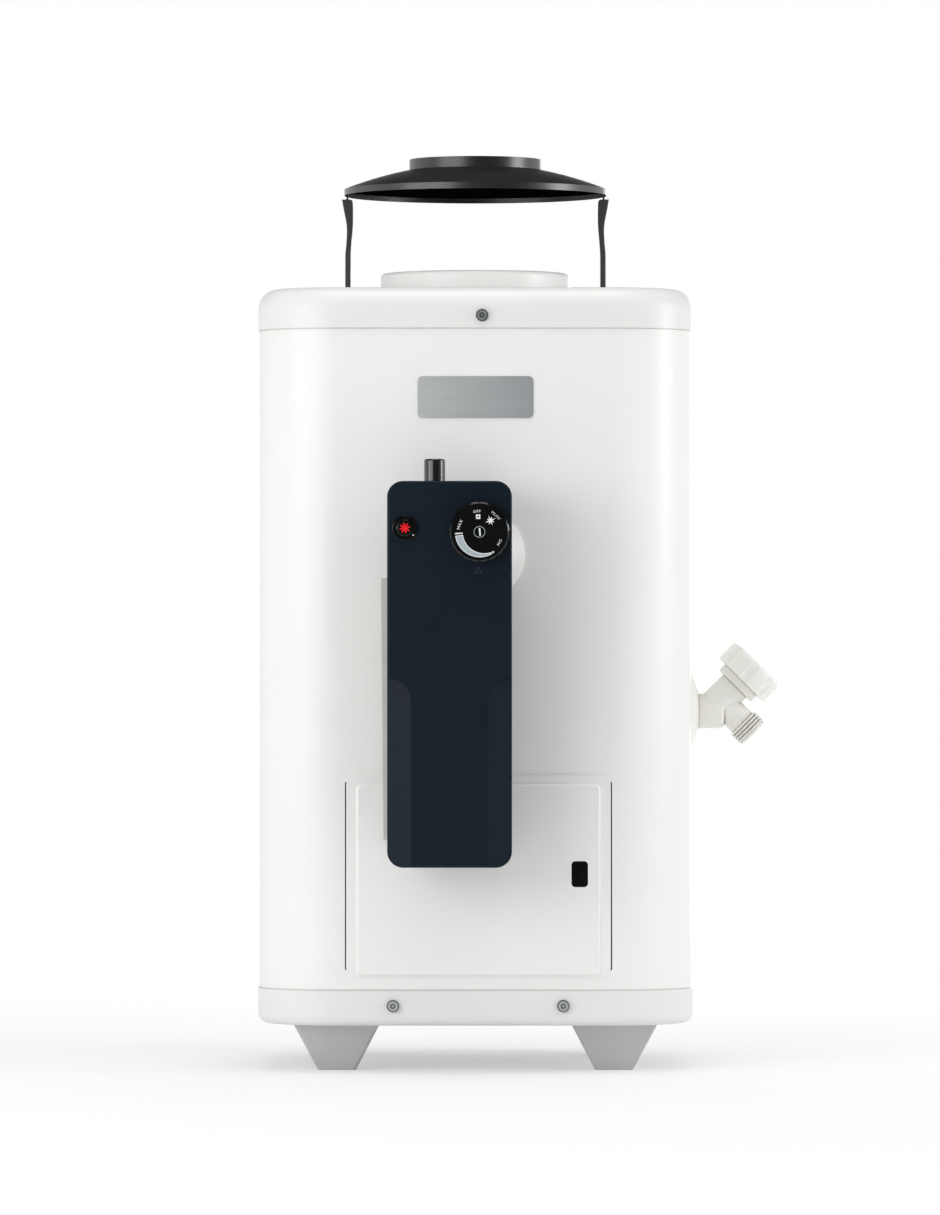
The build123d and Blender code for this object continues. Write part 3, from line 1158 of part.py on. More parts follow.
def make_burner_cap():
    """Burner head on the dish, with a ring of ports."""
    cap = rod((0, 0, DISH_TOP_Z), UPWARD, BURNER_CAP_THICKNESS, BURNER_CAP_RADIUS)
    cap = chamfer(cap.edges().group_by(Axis.Z)[-1], BURNER_CAP_THICKNESS / 3)
    cap += rod((0, 0, DISH_TOP_Z), DOWNWARD, BURNER_CAP_SPIGOT, DISH_RADIUS - MIXER_WALL - FIXED_GAP)
    start = DISH_TOP_Z - BURNER_CAP_SPIGOT - OVERCUT
    depth = BURNER_CAP_SPIGOT + BURNER_CAP_THICKNESS + 2 * OVERCUT
    for place in PolarLocations(PORT_RING_RADIUS, PORT_COUNT):
        cap -= Pos(0, 0, start) * place * Cylinder(PORT_RADIUS, depth, align=FROM_BASE)
    return cap


def make_burner_orifice():
    """Brass orifice screwed into the mixing tube's end wall."""
    hexed = hexagon((0, MIXER_MOUTH, BURNER_AXIS_Z), FRONTWARD, ORIFICE_HEX, ORIFICE_FLATS)
    return hexed + rod((0, MIXER_MOUTH, BURNER_AXIS_Z), REARWARD, ORIFICE_NOSE, ORIFICE_RADIUS)


def make_burner_stand():
    """Tube stand between the pan floor and the burner."""
    inside = STAND_RADIUS - STAND_WALL
    stand = pipe((0, 0, PAN_FLOOR), UPWARD, RISER_BOTTOM_Z - PAN_FLOOR, STAND_RADIUS, inside)
    return stand + pipe((0, 0, PAN_FLOOR), UPWARD, STAND_WALL, STAND_FLANGE_RADIUS, inside)


def make_pilot_bracket():
    """Plate across the mixing tube that holds the pilot burner, the electrode and the thermocouple tip."""
    low = min(LINE_XS) - PILOT_BRACKET_MARGIN
    high = max(LINE_XS) + PILOT_BRACKET_MARGIN
    depth = PILOT_BRACKET_DEPTH / 2
    plate = block((low, high), (PILOT_Y - depth, PILOT_Y + depth),
                  (PILOT_BRACKET_Z, PILOT_BRACKET_Z + PILOT_BRACKET_SHEET))
    holes = (
        (PILOT_LINE_X, PILOT_BURNER_RADIUS), (THERMO_X, THERMO_TIP_RADIUS), (IGNITER_X, ELECTRODE_RADIUS)
    )
    for x, radius in holes:
        plate -= rod((x, PILOT_Y, PILOT_BRACKET_Z - OVERCUT), UPWARD, PILOT_BRACKET_SHEET + 2 * OVERCUT,
                     radius + FIXED_GAP)
    return plate


def make_pilot_burner():
    """Pilot burner with an angled flame port towards the main burner."""
    pilot = rod((PILOT_LINE_X, PILOT_Y, PILOT_FOOT_Z), UPWARD, PILOT_BURNER_HEIGHT, PILOT_BURNER_RADIUS)
    port = (PILOT_LINE_X, PILOT_Y, PILOT_FOOT_Z + PILOT_BURNER_HEIGHT - PILOT_BURNER_RADIUS)
    return pilot - rod(port, REARWARD, PILOT_BURNER_RADIUS * 2, PILOT_BURNER_RADIUS / 2)


def make_spark_electrode():
    """Ceramic-sleeved spark electrode beside the pilot."""
    sleeve = rod((IGNITER_X, PILOT_Y, PILOT_FOOT_Z), UPWARD, ELECTRODE_HEIGHT, ELECTRODE_RADIUS)
    tip = (IGNITER_X, PILOT_Y, PILOT_FOOT_Z + ELECTRODE_HEIGHT)
    return sleeve + rod(tip, UPWARD, ELECTRODE_WIRE, ELECTRODE_WIRE_RADIUS)


# Drain valve

def make_drain_escutcheon():
    """Domed plastic ring round the drain valve on the right side of the jacket."""
    bore = DRAIN_SHANK_RADIUS + SOFT_GAP
    dome = turned([
        (bore, 0),
        (ESCUTCHEON_RADIUS, 0),
        (ESCUTCHEON_RADIUS, ESCUTCHEON_LIP),
        (ESCUTCHEON_TOP_RADIUS, ESCUTCHEON_PROUD),
        (bore, ESCUTCHEON_PROUD),
    ])
    return Plane(origin=(SIDE, 0, DRAIN_Z), z_dir=RIGHTWARD) * dome


def make_drain_valve_body():
    """Y-shaped valve body with its tank shank, stem arm, seat and threaded hose outlet."""
    shank_start = DRAIN_BOSS_END - DRAIN_SHANK_GRIP
    barrel = rod((BARREL_START, 0, DRAIN_Z), RIGHTWARD, DRAIN_CENTRE.X + DRAIN_BARREL_PAST - BARREL_START,
                 DRAIN_BARREL_RADIUS)
    barrel = fillet(barrel.edges().group_by(Axis.X)[-1], DRAIN_BARREL_RADIUS / 4)
    body = barrel + rod((shank_start, 0, DRAIN_Z), RIGHTWARD, BARREL_START - shank_start,
                        DRAIN_SHANK_RADIUS)
    body += rod(along_stem(-DRAIN_ELBOW_DROP), STEM_DIRECTION, DRAIN_ELBOW_DROP + DRAIN_ARM,
                DRAIN_ARM_RADIUS)
    body += rod(along_outlet(0), OUTLET_DIRECTION, OUTLET_LENGTH - HOSE_NOSE, OUTLET_NECK_RADIUS)
    thread_start = OUTLET_LENGTH - HOSE_NOSE - HOSE_PITCH * HOSE_TURNS
    body += rod(along_outlet(thread_start), OUTLET_DIRECTION, HOSE_PITCH * HOSE_TURNS + HOSE_NOSE,
                HOSE_ROOT_RADIUS)
    for turn in range(HOSE_TURNS):
        crest = along_outlet(thread_start + HOSE_PITCH * turn)
        body += rod(crest, OUTLET_DIRECTION, HOSE_CREST, HOSE_CREST_RADIUS)
    body -= rod((shank_start - OVERCUT, 0, DRAIN_Z), RIGHTWARD, DRAIN_ELBOW_X + OVERCUT - shank_start,
                DRAIN_BORE_RADIUS)
    body -= rod(along_stem(-DRAIN_ELBOW_DROP), STEM_DIRECTION, DRAIN_ELBOW_DROP, DRAIN_PORT_RADIUS)
    body -= rod(along_stem(-DRAIN_SEAT_DROP), STEM_DIRECTION, DRAIN_SEAT_DROP + DRAIN_ARM + OVERCUT,
                DRAIN_CHAMBER_RADIUS)
    return body - rod(along_outlet(0), OUTLET_DIRECTION, OUTLET_LENGTH + OVERCUT, DRAIN_BORE_RADIUS)


def make_drain_bonnet():
    """Guide bush for the stem in the end of the valve's arm."""
    return pipe(along_stem(DRAIN_ARM - BONNET_LENGTH), STEM_DIRECTION, BONNET_LENGTH,
                DRAIN_CHAMBER_RADIUS - FIXED_GAP, STEM_RADIUS + RUNNING_GAP)


def make_drain_washer():
    """Rubber washer that the stem presses on the seat."""
    return rod(along_stem(RUNNING_GAP - DRAIN_SEAT_DROP), STEM_DIRECTION, WASHER_THICKNESS, WASHER_RADIUS)


def make_drain_stem():
    """Stem between the washer and the handle."""
    start = 2 * RUNNING_GAP - DRAIN_SEAT_DROP + WASHER_THICKNESS
    return rod(along_stem(start), STEM_DIRECTION, HANDLE_START + STEM_IN_HANDLE - start, STEM_RADIUS)


def make_drain_handle():
    """Lobed handle with a skirt over the end of the arm."""
    grip_start = HANDLE_START + HANDLE_SKIRT
    plane = Plane(origin=along_stem(grip_start), x_dir=(0, 1, 0), z_dir=STEM_DIRECTION)
    grip = Cylinder(HANDLE_RADIUS, HANDLE_GRIP, align=FROM_BASE)
    grip = fillet(grip.edges().group_by(Axis.Z)[-1], HANDLE_EDGE)
    flute_ring = HANDLE_RADIUS + HANDLE_FLUTE_RADIUS - HANDLE_FLUTE_DEPTH
    for place in PolarLocations(flute_ring, HANDLE_LOBES):
        grip -= place * Cylinder(HANDLE_FLUTE_RADIUS, 3 * HANDLE_GRIP)
    handle = plane * grip + rod(along_stem(HANDLE_START), STEM_DIRECTION, HANDLE_SKIRT, HANDLE_SKIRT_RADIUS)
    return handle - rod(along_stem(HANDLE_START - OVERCUT), STEM_DIRECTION, STEM_IN_HANDLE + OVERCUT,
                        STEM_RADIUS + RUNNING_GAP)


def make_all():
    """Every piece by its node name."""
    pieces = {
        "jacket": make_jacket(),
        "base_pan": make_base_pan(),
        "top_cap": make_top_cap(),
        "pan_screws": make_skirt_screws(PAN_SCREWS),
        "cap_screws": make_skirt_screws(CAP_SCREWS),
        "foot_screws": make_foot_screws(),
        "name_plate": make_name_plate(),
        "access_door": make_access_door(),
        "sight_window": make_sight_window(),
        "water_tank": make_water_tank(),
        "flue_tube": make_flue_tube(),
        "flue_baffle": make_flue_baffle(),
        "anode_rod": make_anode_rod(),
        "pipe_rings": make_pipe_rings(),
        "insulation": make_insulation(),
        "flue_collar": make_flue_collar(),
        "draft_hood": make_draft_hood(),
        "hood_leg_left": make_hood_leg(-1),
        "hood_leg_right": make_hood_leg(1),
        "thermostat_dome": make_thermostat_dome(),
        "gas_valve": make_gas_valve(),
        "thermostat_probe": make_thermostat_probe(),
        "gas_inlet_fitting": make_gas_inlet_fitting(),
        "control_cover": make_control_cover(),
        "control_bracket": make_control_bracket(),
        "bracket_screws": make_bracket_screws(),
        "valve_spindle": make_valve_spindle(),
        "control_knob": make_control_knob(),
        "pilot_button": make_pilot_button(),
        "pilot_bezel": make_pilot_bezel(),
        "igniter_body": make_igniter_body(),
        "igniter_button": make_igniter_button(),
        "tube_grommet": make_tube_grommet(),
        "manifold_tube": make_manifold_tube(),
        "pilot_tube": make_pilot_tube(),
        "thermocouple": make_thermocouple(),
        "ignition_lead": make_ignition_lead(),
        "combustion_chamber": make_combustion_chamber(),
        "inner_door": make_inner_door(),
        "burner_body": make_burner_body(),
        "burner_cap": make_burner_cap(),
        "burner_orifice": make_burner_orifice(),
        "burner_stand": make_burner_stand(),
        "pilot_bracket": make_pilot_bracket(),
        "pilot_burner": make_pilot_burner(),
        "spark_electrode": make_spark_electrode(),
        "drain_escutcheon": make_drain_escutcheon(),
        "drain_valve_body": make_drain_valve_body(),
        "drain_bonnet": make_drain_bonnet(),
        "drain_washer": make_drain_washer(),
        "drain_stem": make_drain_stem(),
        "drain_handle": make_drain_handle(),
    }
    for name, (x, y) in FOOT_PLACES.items():
        pieces[name] = make_foot(x, y)
    for name, (x, z) in NIPPLES.items():
        pieces[name] = make_nipple(x, z)
    return pieces


os.makedirs("parts", exist_ok=True)
for node, shape in make_all().items():
    export_step(shape, f"parts/{node}.step")
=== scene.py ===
"""Floor-standing gas water heater: finishes, printed and moulded detail, floor, light and camera."""
from math import cos, degrees, pi, radians, sin, sqrt

import bmesh
import bpy
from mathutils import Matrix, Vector


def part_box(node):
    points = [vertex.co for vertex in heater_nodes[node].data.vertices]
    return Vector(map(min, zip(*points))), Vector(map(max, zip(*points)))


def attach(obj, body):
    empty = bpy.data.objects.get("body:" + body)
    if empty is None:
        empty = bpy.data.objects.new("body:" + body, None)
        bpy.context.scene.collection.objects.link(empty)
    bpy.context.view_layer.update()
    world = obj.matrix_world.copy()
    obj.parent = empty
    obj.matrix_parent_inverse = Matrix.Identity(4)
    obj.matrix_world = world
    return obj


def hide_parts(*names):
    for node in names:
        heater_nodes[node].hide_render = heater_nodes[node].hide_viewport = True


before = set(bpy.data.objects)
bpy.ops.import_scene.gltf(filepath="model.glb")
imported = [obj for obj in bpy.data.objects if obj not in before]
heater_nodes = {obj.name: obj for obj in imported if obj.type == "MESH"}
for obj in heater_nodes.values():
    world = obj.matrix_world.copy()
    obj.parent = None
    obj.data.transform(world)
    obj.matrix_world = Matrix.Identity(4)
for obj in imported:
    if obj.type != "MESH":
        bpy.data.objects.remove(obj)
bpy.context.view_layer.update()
MM = 0.001


# Colours and shader nodes

def linear(hex_code):
    """Linear RGBA of an sRGB hex colour."""
    channels = [int(hex_code[i:i + 2], 16) / 255 for i in (1, 3, 5)]
    return tuple(c / 12.92 if c <= 0.04045 else ((c + 0.055) / 1.055) ** 2.4 for c in channels) + (1.0,)


def per_mm(size_mm):
    """Noise scale whose grain has this size, as coordinates are in metres."""
    return 1.0 / (size_mm * MM)


def wave_mm(pitch_mm):
    """Wave scale whose ridges have this pitch, as coordinates are in metres."""
    return 2 * pi / (20 * pitch_mm * MM)


def join(tree, node, links):
    """Links outputs of other nodes into a node."""
    for key, (source, output) in links.items():
        tree.links.new(source.outputs[output], node.inputs[key])


def add(tree, kind, settings, links):
    """Adds a node with its settings and links."""
    node = tree.nodes.new(kind)
    for key, value in settings.items():
        if isinstance(key, int) or key in node.inputs:
            node.inputs[key].default_value = value
        else:
            setattr(node, key, value)
    join(tree, node, links)
    return node


def new_finish(name, settings):
    """New material, with its node tree, its shader and the output that gives places in the heater's frame."""
    material = bpy.data.materials.new(name)
    material.use_nodes = True
    tree = material.node_tree
    shader = tree.nodes["Principled BSDF"]
    for key, value in settings.items():
        shader.inputs[key].default_value = value
    coordinates = add(tree, "ShaderNodeTexCoord", {}, {})
    return material, tree, shader, (coordinates, "Object")


def dress(tree, shader, tint, gloss, bump):
    """Links a tint, a gloss and a bump into a shader."""
    join(tree, shader, {"Base Color": (tint, 2), "Roughness": (gloss, "Result"), "Normal": (bump, "Normal")})


# Finishes that differ in values alone

def mottled(name, settings, clouds, colours, glosses, relief=None, grain=None):
    """Finish that clouds mottle in tint and gloss. Relief raises its grain, or else its clouds."""
    material, tree, shader, here = new_finish(name, settings)
    cloud = add(tree, "ShaderNodeTexNoise", clouds, {"Vector": here})
    tint = add(tree, "ShaderNodeMix", {"data_type": "RGBA", 6: linear(colours[0]), 7: linear(colours[1])},
               {0: (cloud, "Fac")})
    gloss = add(tree, "ShaderNodeMapRange", {"To Min": glosses[0], "To Max": glosses[1]},
                {"Value": (cloud, "Fac")})
    join(tree, shader, {"Base Color": (tint, 2), "Roughness": (gloss, "Result")})
    if relief:
        raised = add(tree, "ShaderNodeTexNoise", grain, {"Vector": here}) if grain else cloud
        bump = add(tree, "ShaderNodeBump", relief, {"Height": (raised, "Fac")})
        join(tree, shader, {"Normal": (bump, "Normal")})
    return material


def pad_print_ink(name, pale, full):
    """Pad-printed ink on plastic: flat, slightly patchy where the pad lifted."""
    return mottled(name, {"IOR": 1.48, "Specular IOR Level": 0.3}, {"Scale": per_mm(1.1), "Detail": 3.0},
                   (pale, full), (0.38, 0.55))


# Finishes of the casing and the hood

def gloss_white_enamel(name, shade, light, seams):
    """Gloss enamel sprayed on pressed steel: bright white, soft sheen, faint orange peel, dust and painted
    shade along its seams.
    """
    material, tree, shader, here = new_finish(name, {"IOR": 1.52})
    cloud = add(tree, "ShaderNodeTexNoise", {"Scale": per_mm(140), "Detail": 3.0}, {"Vector": here})
    tint = add(tree, "ShaderNodeMix", {"data_type": "RGBA", 6: linear(shade), 7: linear(light)},
               {0: (cloud, "Fac")})
    spot = add(tree, "ShaderNodeSeparateXYZ", {}, {"Vector": here})
    for height in seams:
        rise = add(tree, "ShaderNodeMath", {"operation": "SUBTRACT", 1: height}, {0: (spot, "Z")})
        away = add(tree, "ShaderNodeMath", {"operation": "ABSOLUTE"}, {0: (rise, 0)})
        # Dust and painted seam shade lie within 1 mm of a seam
        seam_dust_and_shade = add(tree, "ShaderNodeMapRange",
                    {"From Min": 0.5 * MM, "From Max": 1.0 * MM, "To Min": 0.6, "To Max": 0.0},
                    {"Value": (away, 0)})
        tint = add(tree, "ShaderNodeMix", {"data_type": "RGBA", 7: linear("#A9A9A5")},
                   {0: (seam_dust_and_shade, "Result"), 6: (tint, 2)})
    gloss = add(tree, "ShaderNodeMapRange", {"To Min": 0.33, "To Max": 0.42}, {"Value": (cloud, "Fac")})
    # Real orange peel is about 1 mm across, drawn at 2.5 mm so that it shows
    peel = add(tree, "ShaderNodeTexNoise", {"Scale": per_mm(2.5), "Detail": 1.0}, {"Vector": here})
    bump = add(tree, "ShaderNodeBump", {"Strength": 0.07, "Distance": 0.0002}, {"Height": (peel, "Fac")})
    dress(tree, shader, tint, gloss, bump)
    return material


def satin_black_hood_paint():
    """Stove paint sprayed on spun steel: satin charcoal, faint lathe rings, rubbed rims, soot and painted
    shade below.
    """
    material, tree, shader, here = new_finish("satin_black_stove_paint_on_spun_steel", {"IOR": 1.5})
    cloud = add(tree, "ShaderNodeTexNoise", {"Scale": per_mm(30), "Detail": 4.0}, {"Vector": here})
    paint = add(tree, "ShaderNodeMix", {"data_type": "RGBA", 6: linear("#161617"), 7: linear("#1F1F20")},
                {0: (cloud, "Fac")})
    # The coordinates also tell which way a face looks
    facing = add(tree, "ShaderNodeSeparateXYZ", {}, {"Vector": (here[0], "Normal")})
    # Faces that look down are painted near black and lose their reflection: soot and painted shade under the
    # bell
    below = add(tree, "ShaderNodeMapRange", {"From Min": 0.05, "From Max": -0.2}, {"Value": (facing, "Z")})
    tint = add(tree, "ShaderNodeMix", {"data_type": "RGBA", 7: linear("#060606")},
               {0: (below, "Result"), 6: (paint, 2)})
    # Handling polishes the upright walls of the spigot and the rim
    rubbed = add(tree, "ShaderNodeMapRange",
                 {"From Min": 0.6, "From Max": 0.1, "To Min": 0.8, "To Max": 1.4}, {"Value": (facing, "Z")})
    clear = add(tree, "ShaderNodeMath", {"operation": "SUBTRACT", 0: 1.0}, {1: (below, "Result")})
    shine = add(tree, "ShaderNodeMath", {"operation": "MULTIPLY"}, {0: (rubbed, "Result"), 1: (clear, 0)})
    gloss = add(tree, "ShaderNodeMapRange", {"To Min": 0.29, "To Max": 0.4}, {"Value": (cloud, "Fac")})
    # Spinning leaves rings about 1.5 mm apart round the flue axis
    rings = add(tree, "ShaderNodeTexWave",
                {"wave_type": "RINGS", "rings_direction": "Z", "Scale": wave_mm(1.5), "Distortion": 1.2,
                 "Detail": 1.0}, {"Vector": here})
    grain = add(tree, "ShaderNodeTexNoise", {"Scale": per_mm(0.7), "Detail": 2.0}, {"Vector": here})
    relief = add(tree, "ShaderNodeMix", {0: 0.35}, {2: (grain, "Fac"), 3: (rings, "Fac")})
    bump = add(tree, "ShaderNodeBump", {"Strength": 0.16, "Distance": 0.0002}, {"Height": (relief, 0)})
    dress(tree, shader, tint, gloss, bump)
    join(tree, shader, {"Specular IOR Level": (shine, 0)})
    return material


def charcoal_strip_paint():
    """Paint dipped on sheared steel strip: flat charcoal, with faint sags along its length."""
    material, tree, shader, here = new_finish("charcoal_dip_paint_on_steel_strip", {"IOR": 1.5})
    # Sags 3 mm across and 25 mm long
    hang = add(tree, "ShaderNodeMapping", {"Scale": (per_mm(3), per_mm(3), per_mm(25))}, {"Vector": here})
    sag = add(tree, "ShaderNodeTexNoise", {"Scale": 1.0, "Detail": 3.0}, {"Vector": (hang, "Vector")})
    tint = add(tree, "ShaderNodeMix", {"data_type": "RGBA", 6: linear("#383839"), 7: linear("#424243")},
               {0: (sag, "Fac")})
    gloss = add(tree, "ShaderNodeMapRange", {"To Min": 0.38, "To Max": 0.52}, {"Value": (sag, "Fac")})
    bump = add(tree, "ShaderNodeBump", {"Strength": 0.12, "Distance": 0.0002}, {"Height": (sag, "Fac")})
    dress(tree, shader, tint, gloss, bump)
    return material


def grey_powder_coat():
    """Powder coat on pressed feet: light grey, matt, with a fine pebbled skin."""
    material, tree, shader, here = new_finish("grey_powder_coat_on_steel", {"IOR": 1.5})
    cloud = add(tree, "ShaderNodeTexNoise", {"Scale": per_mm(18), "Detail": 3.0}, {"Vector": here})
    tint = add(tree, "ShaderNodeMix", {"data_type": "RGBA", 6: linear("#BEBEBD"), 7: linear("#C8C8C7")},
               {0: (cloud, "Fac")})
    # Pebbles of 0.4 mm, drawn at 0.9 mm so that they show
    pebble = add(tree, "ShaderNodeTexVoronoi", {"Scale": per_mm(0.9), "feature": "SMOOTH_F1"},
                 {"Vector": here})
    gloss = add(tree, "ShaderNodeMapRange", {"To Min": 0.5, "To Max": 0.68}, {"Value": (cloud, "Fac")})
    bump = add(tree, "ShaderNodeBump", {"Strength": 0.2, "Distance": 0.0002},
               {"Height": (pebble, "Distance")})
    dress(tree, shader, tint, gloss, bump)
    return material


# Radius of a screw's flange, and spacing of the rings of oil and painted shade on its head
SCREW_FLANGE = 4.7 * MM
OIL_AND_SHADE_SPACING = 2.9 * MM


def zinc_heads_with_oil_and_shade(name, node):
    """Zinc plate on screw heads: silver faces, with dark oil and painted shade in the dimple and round the
    flange.
    """
    material, tree, shader, here = new_finish(name, {"Metallic": 1.0})
    low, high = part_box(node)
    middle, spread = (low + high) / 2, (high.x - low.x) / 2 - SCREW_FLANGE
    spot = add(tree, "ShaderNodeSeparateXYZ", {}, {"Vector": here})
    across = add(tree, "ShaderNodeMath", {"operation": "SUBTRACT", 1: middle.x}, {0: (spot, "X")})
    mirrored = add(tree, "ShaderNodeMath", {"operation": "ABSOLUTE"}, {0: (across, 0)})
    sideways = add(tree, "ShaderNodeMath", {"operation": "SUBTRACT", 1: spread}, {0: (mirrored, 0)})
    upwards = add(tree, "ShaderNodeMath", {"operation": "SUBTRACT", 1: middle.z}, {0: (spot, "Z")})
    offset = add(tree, "ShaderNodeCombineXYZ", {}, {"X": (sideways, 0), "Y": (upwards, 0)})
    radius = add(tree, "ShaderNodeVectorMath", {"operation": "LENGTH"}, {0: (offset, 0)})
    # Oil and painted shade lie 1.45 mm and 4.35 mm from the middle of a head
    turn = add(tree, "ShaderNodeMath", {"operation": "MULTIPLY", 1: 2 * pi / OIL_AND_SHADE_SPACING},
               {0: (radius, "Value")})
    swell = add(tree, "ShaderNodeMath", {"operation": "COSINE"}, {0: (turn, 0)})
    unshaded = add(tree, "ShaderNodeMapRange", {"From Min": -0.9, "From Max": 0.4}, {"Value": (swell, 0)})
    cloud = add(tree, "ShaderNodeTexNoise", {"Scale": per_mm(3.5), "Detail": 4.0}, {"Vector": here})
    plate = add(tree, "ShaderNodeMix", {"data_type": "RGBA", 6: linear("#CBCFD1"), 7: linear("#E6E9EA")},
                {0: (cloud, "Fac")})
    tint = add(tree, "ShaderNodeMix", {"data_type": "RGBA", 6: linear("#75787B")},
               {0: (unshaded, "Result"), 7: (plate, 2)})
    gloss = add(tree, "ShaderNodeMapRange", {"To Min": 0.3, "To Max": 0.5}, {"Value": (cloud, "Fac")})
    grain = add(tree, "ShaderNodeTexNoise", {"Scale": per_mm(0.6), "Detail": 2.0}, {"Vector": here})
    bump = add(tree, "ShaderNodeBump", {"Strength": 0.08, "Distance": 0.0001}, {"Height": (grain, "Fac")})
    dress(tree, shader, tint, gloss, bump)
    return material


def brushed_aluminium_plate():
    """Aluminium brushed along its length: grey silver with painted light, lighter to the left, with long
    hairlines.
    """
    material, tree, shader, here = new_finish("brushed_aluminium", {"Metallic": 1.0, "Anisotropic": 0.5})
    # Hairlines 0.4 mm high and 60 mm long across the plate
    along = add(tree, "ShaderNodeMapping", {"Scale": (per_mm(60), per_mm(60), per_mm(0.4))},
                {"Vector": here})
    hair = add(tree, "ShaderNodeTexNoise", {"Scale": 1.0, "Detail": 3.0, "Roughness": 0.65},
               {"Vector": (along, "Vector")})
    across = add(tree, "ShaderNodeSeparateXYZ", {}, {"Vector": here})
    # Painted light: the plate's colour runs from lighter at the left to darker at the right
    fade = add(tree, "ShaderNodeMapRange", {"From Min": -45 * MM, "From Max": 45 * MM},
               {"Value": (across, "X")})
    base = add(tree, "ShaderNodeMix", {"data_type": "RGBA", 6: linear("#F0F3F4"), 7: linear("#D3D7D9")},
               {0: (fade, "Result")})
    streak = add(tree, "ShaderNodeMapRange",
                 {"From Min": 0.25, "From Max": 0.75, "To Min": 0.82, "To Max": 1.0},
                 {"Value": (hair, "Fac")})
    tint = add(tree, "ShaderNodeMix", {"data_type": "RGBA", "blend_type": "MULTIPLY", 0: 1.0},
               {6: (base, 2), 7: (streak, "Result")})
    gloss = add(tree, "ShaderNodeMapRange", {"To Min": 0.46, "To Max": 0.62}, {"Value": (hair, "Fac")})
    bump = add(tree, "ShaderNodeBump", {"Strength": 0.1, "Distance": 0.00005}, {"Height": (hair, "Fac")})
    dress(tree, shader, tint, gloss, bump)
    return material


# Finishes of the gas control

def textured_black_abs():
    """ABS moulded in an etched tool: blue black, satin, with a fine even grain."""
    material, tree, shader, here = new_finish(
        "textured_black_abs_moulding", {"IOR": 1.5, "Specular IOR Level": 0.13})
    # Etched grain of 0.25 mm, drawn at 0.8 mm so that it shows
    grain = add(tree, "ShaderNodeTexNoise", {"Scale": per_mm(0.8), "Detail": 3.0}, {"Vector": here})
    cloud = add(tree, "ShaderNodeTexNoise", {"Scale": per_mm(60), "Detail": 2.0}, {"Vector": here})
    tint = add(tree, "ShaderNodeMix", {"data_type": "RGBA", 6: linear("#101B25"), 7: linear("#15212B")},
               {0: (cloud, "Fac")})
    gloss = add(tree, "ShaderNodeMapRange", {"To Min": 0.36, "To Max": 0.44}, {"Value": (grain, "Fac")})
    bump = add(tree, "ShaderNodeBump", {"Strength": 0.22, "Distance": 0.0001}, {"Height": (grain, "Fac")})
    dress(tree, shader, tint, gloss, bump)
    return material


def gloss_black_abs():
    """ABS moulded in a polished tool: deep black with sharp highlights and faint handling marks."""
    material, tree, shader, here = new_finish(
        "gloss_black_abs_moulding", {"IOR": 1.5, "Specular IOR Level": 0.4})
    smear = add(tree, "ShaderNodeTexNoise", {"Scale": per_mm(9), "Detail": 5.0, "Roughness": 0.6},
                {"Vector": here})
    tint = add(tree, "ShaderNodeMix", {"data_type": "RGBA", 6: linear("#040506"), 7: linear("#08090A")},
               {0: (smear, "Fac")})
    gloss = add(tree, "ShaderNodeMapRange",
                {"From Min": 0.3, "From Max": 0.8, "To Min": 0.12, "To Max": 0.26}, {"Value": (smear, "Fac")})
    flow = add(tree, "ShaderNodeTexNoise", {"Scale": per_mm(5), "Detail": 1.0}, {"Vector": here})
    bump = add(tree, "ShaderNodeBump", {"Strength": 0.03, "Distance": 0.0002}, {"Height": (flow, "Fac")})
    dress(tree, shader, tint, gloss, bump)
    return material


def ivory_polypropylene():
    """Polypropylene moulding: milky off-white, waxy sheen, faint flow lines, painted shade in threads and
    corners.
    """
    material, tree, shader, here = new_finish(
        "ivory_polypropylene_moulding",
        {"IOR": 1.49, "Subsurface Weight": 0.18, "Subsurface Scale": 2 * MM,
         "Subsurface Radius": (1.0, 0.9, 0.75)},
    )
    flow = add(tree, "ShaderNodeTexNoise", {"Scale": per_mm(16), "Detail": 3.0, "Distortion": 0.6},
               {"Vector": here})
    unshaded = add(tree, "ShaderNodeMix", {"data_type": "RGBA", 6: linear("#EBEAE4"), 7: linear("#F2F1EC")},
                {0: (flow, "Fac")})
    # Painted shade from ambient occlusion darkens grooves up to 2 mm wide
    shade_occlusion = add(tree, "ShaderNodeAmbientOcclusion", {"samples": 8, "Distance": 2 * MM}, {})
    out_of_shade = add(tree, "ShaderNodeMapRange", {"From Min": 0.45, "From Max": 0.9}, {"Value": (shade_occlusion, "AO")})
    tint = add(tree, "ShaderNodeMix", {"data_type": "RGBA", 6: linear("#BAB6AB")},
               {0: (out_of_shade, "Result"), 7: (unshaded, 2)})
    gloss = add(tree, "ShaderNodeMapRange", {"To Min": 0.36, "To Max": 0.54}, {"Value": (flow, "Fac")})
    skin = add(tree, "ShaderNodeTexNoise", {"Scale": per_mm(1.4), "Detail": 2.0}, {"Vector": here})
    bump = add(tree, "ShaderNodeBump", {"Strength": 0.06, "Distance": 0.0002}, {"Height": (skin, "Fac")})
    dress(tree, shader, tint, gloss, bump)
    return material


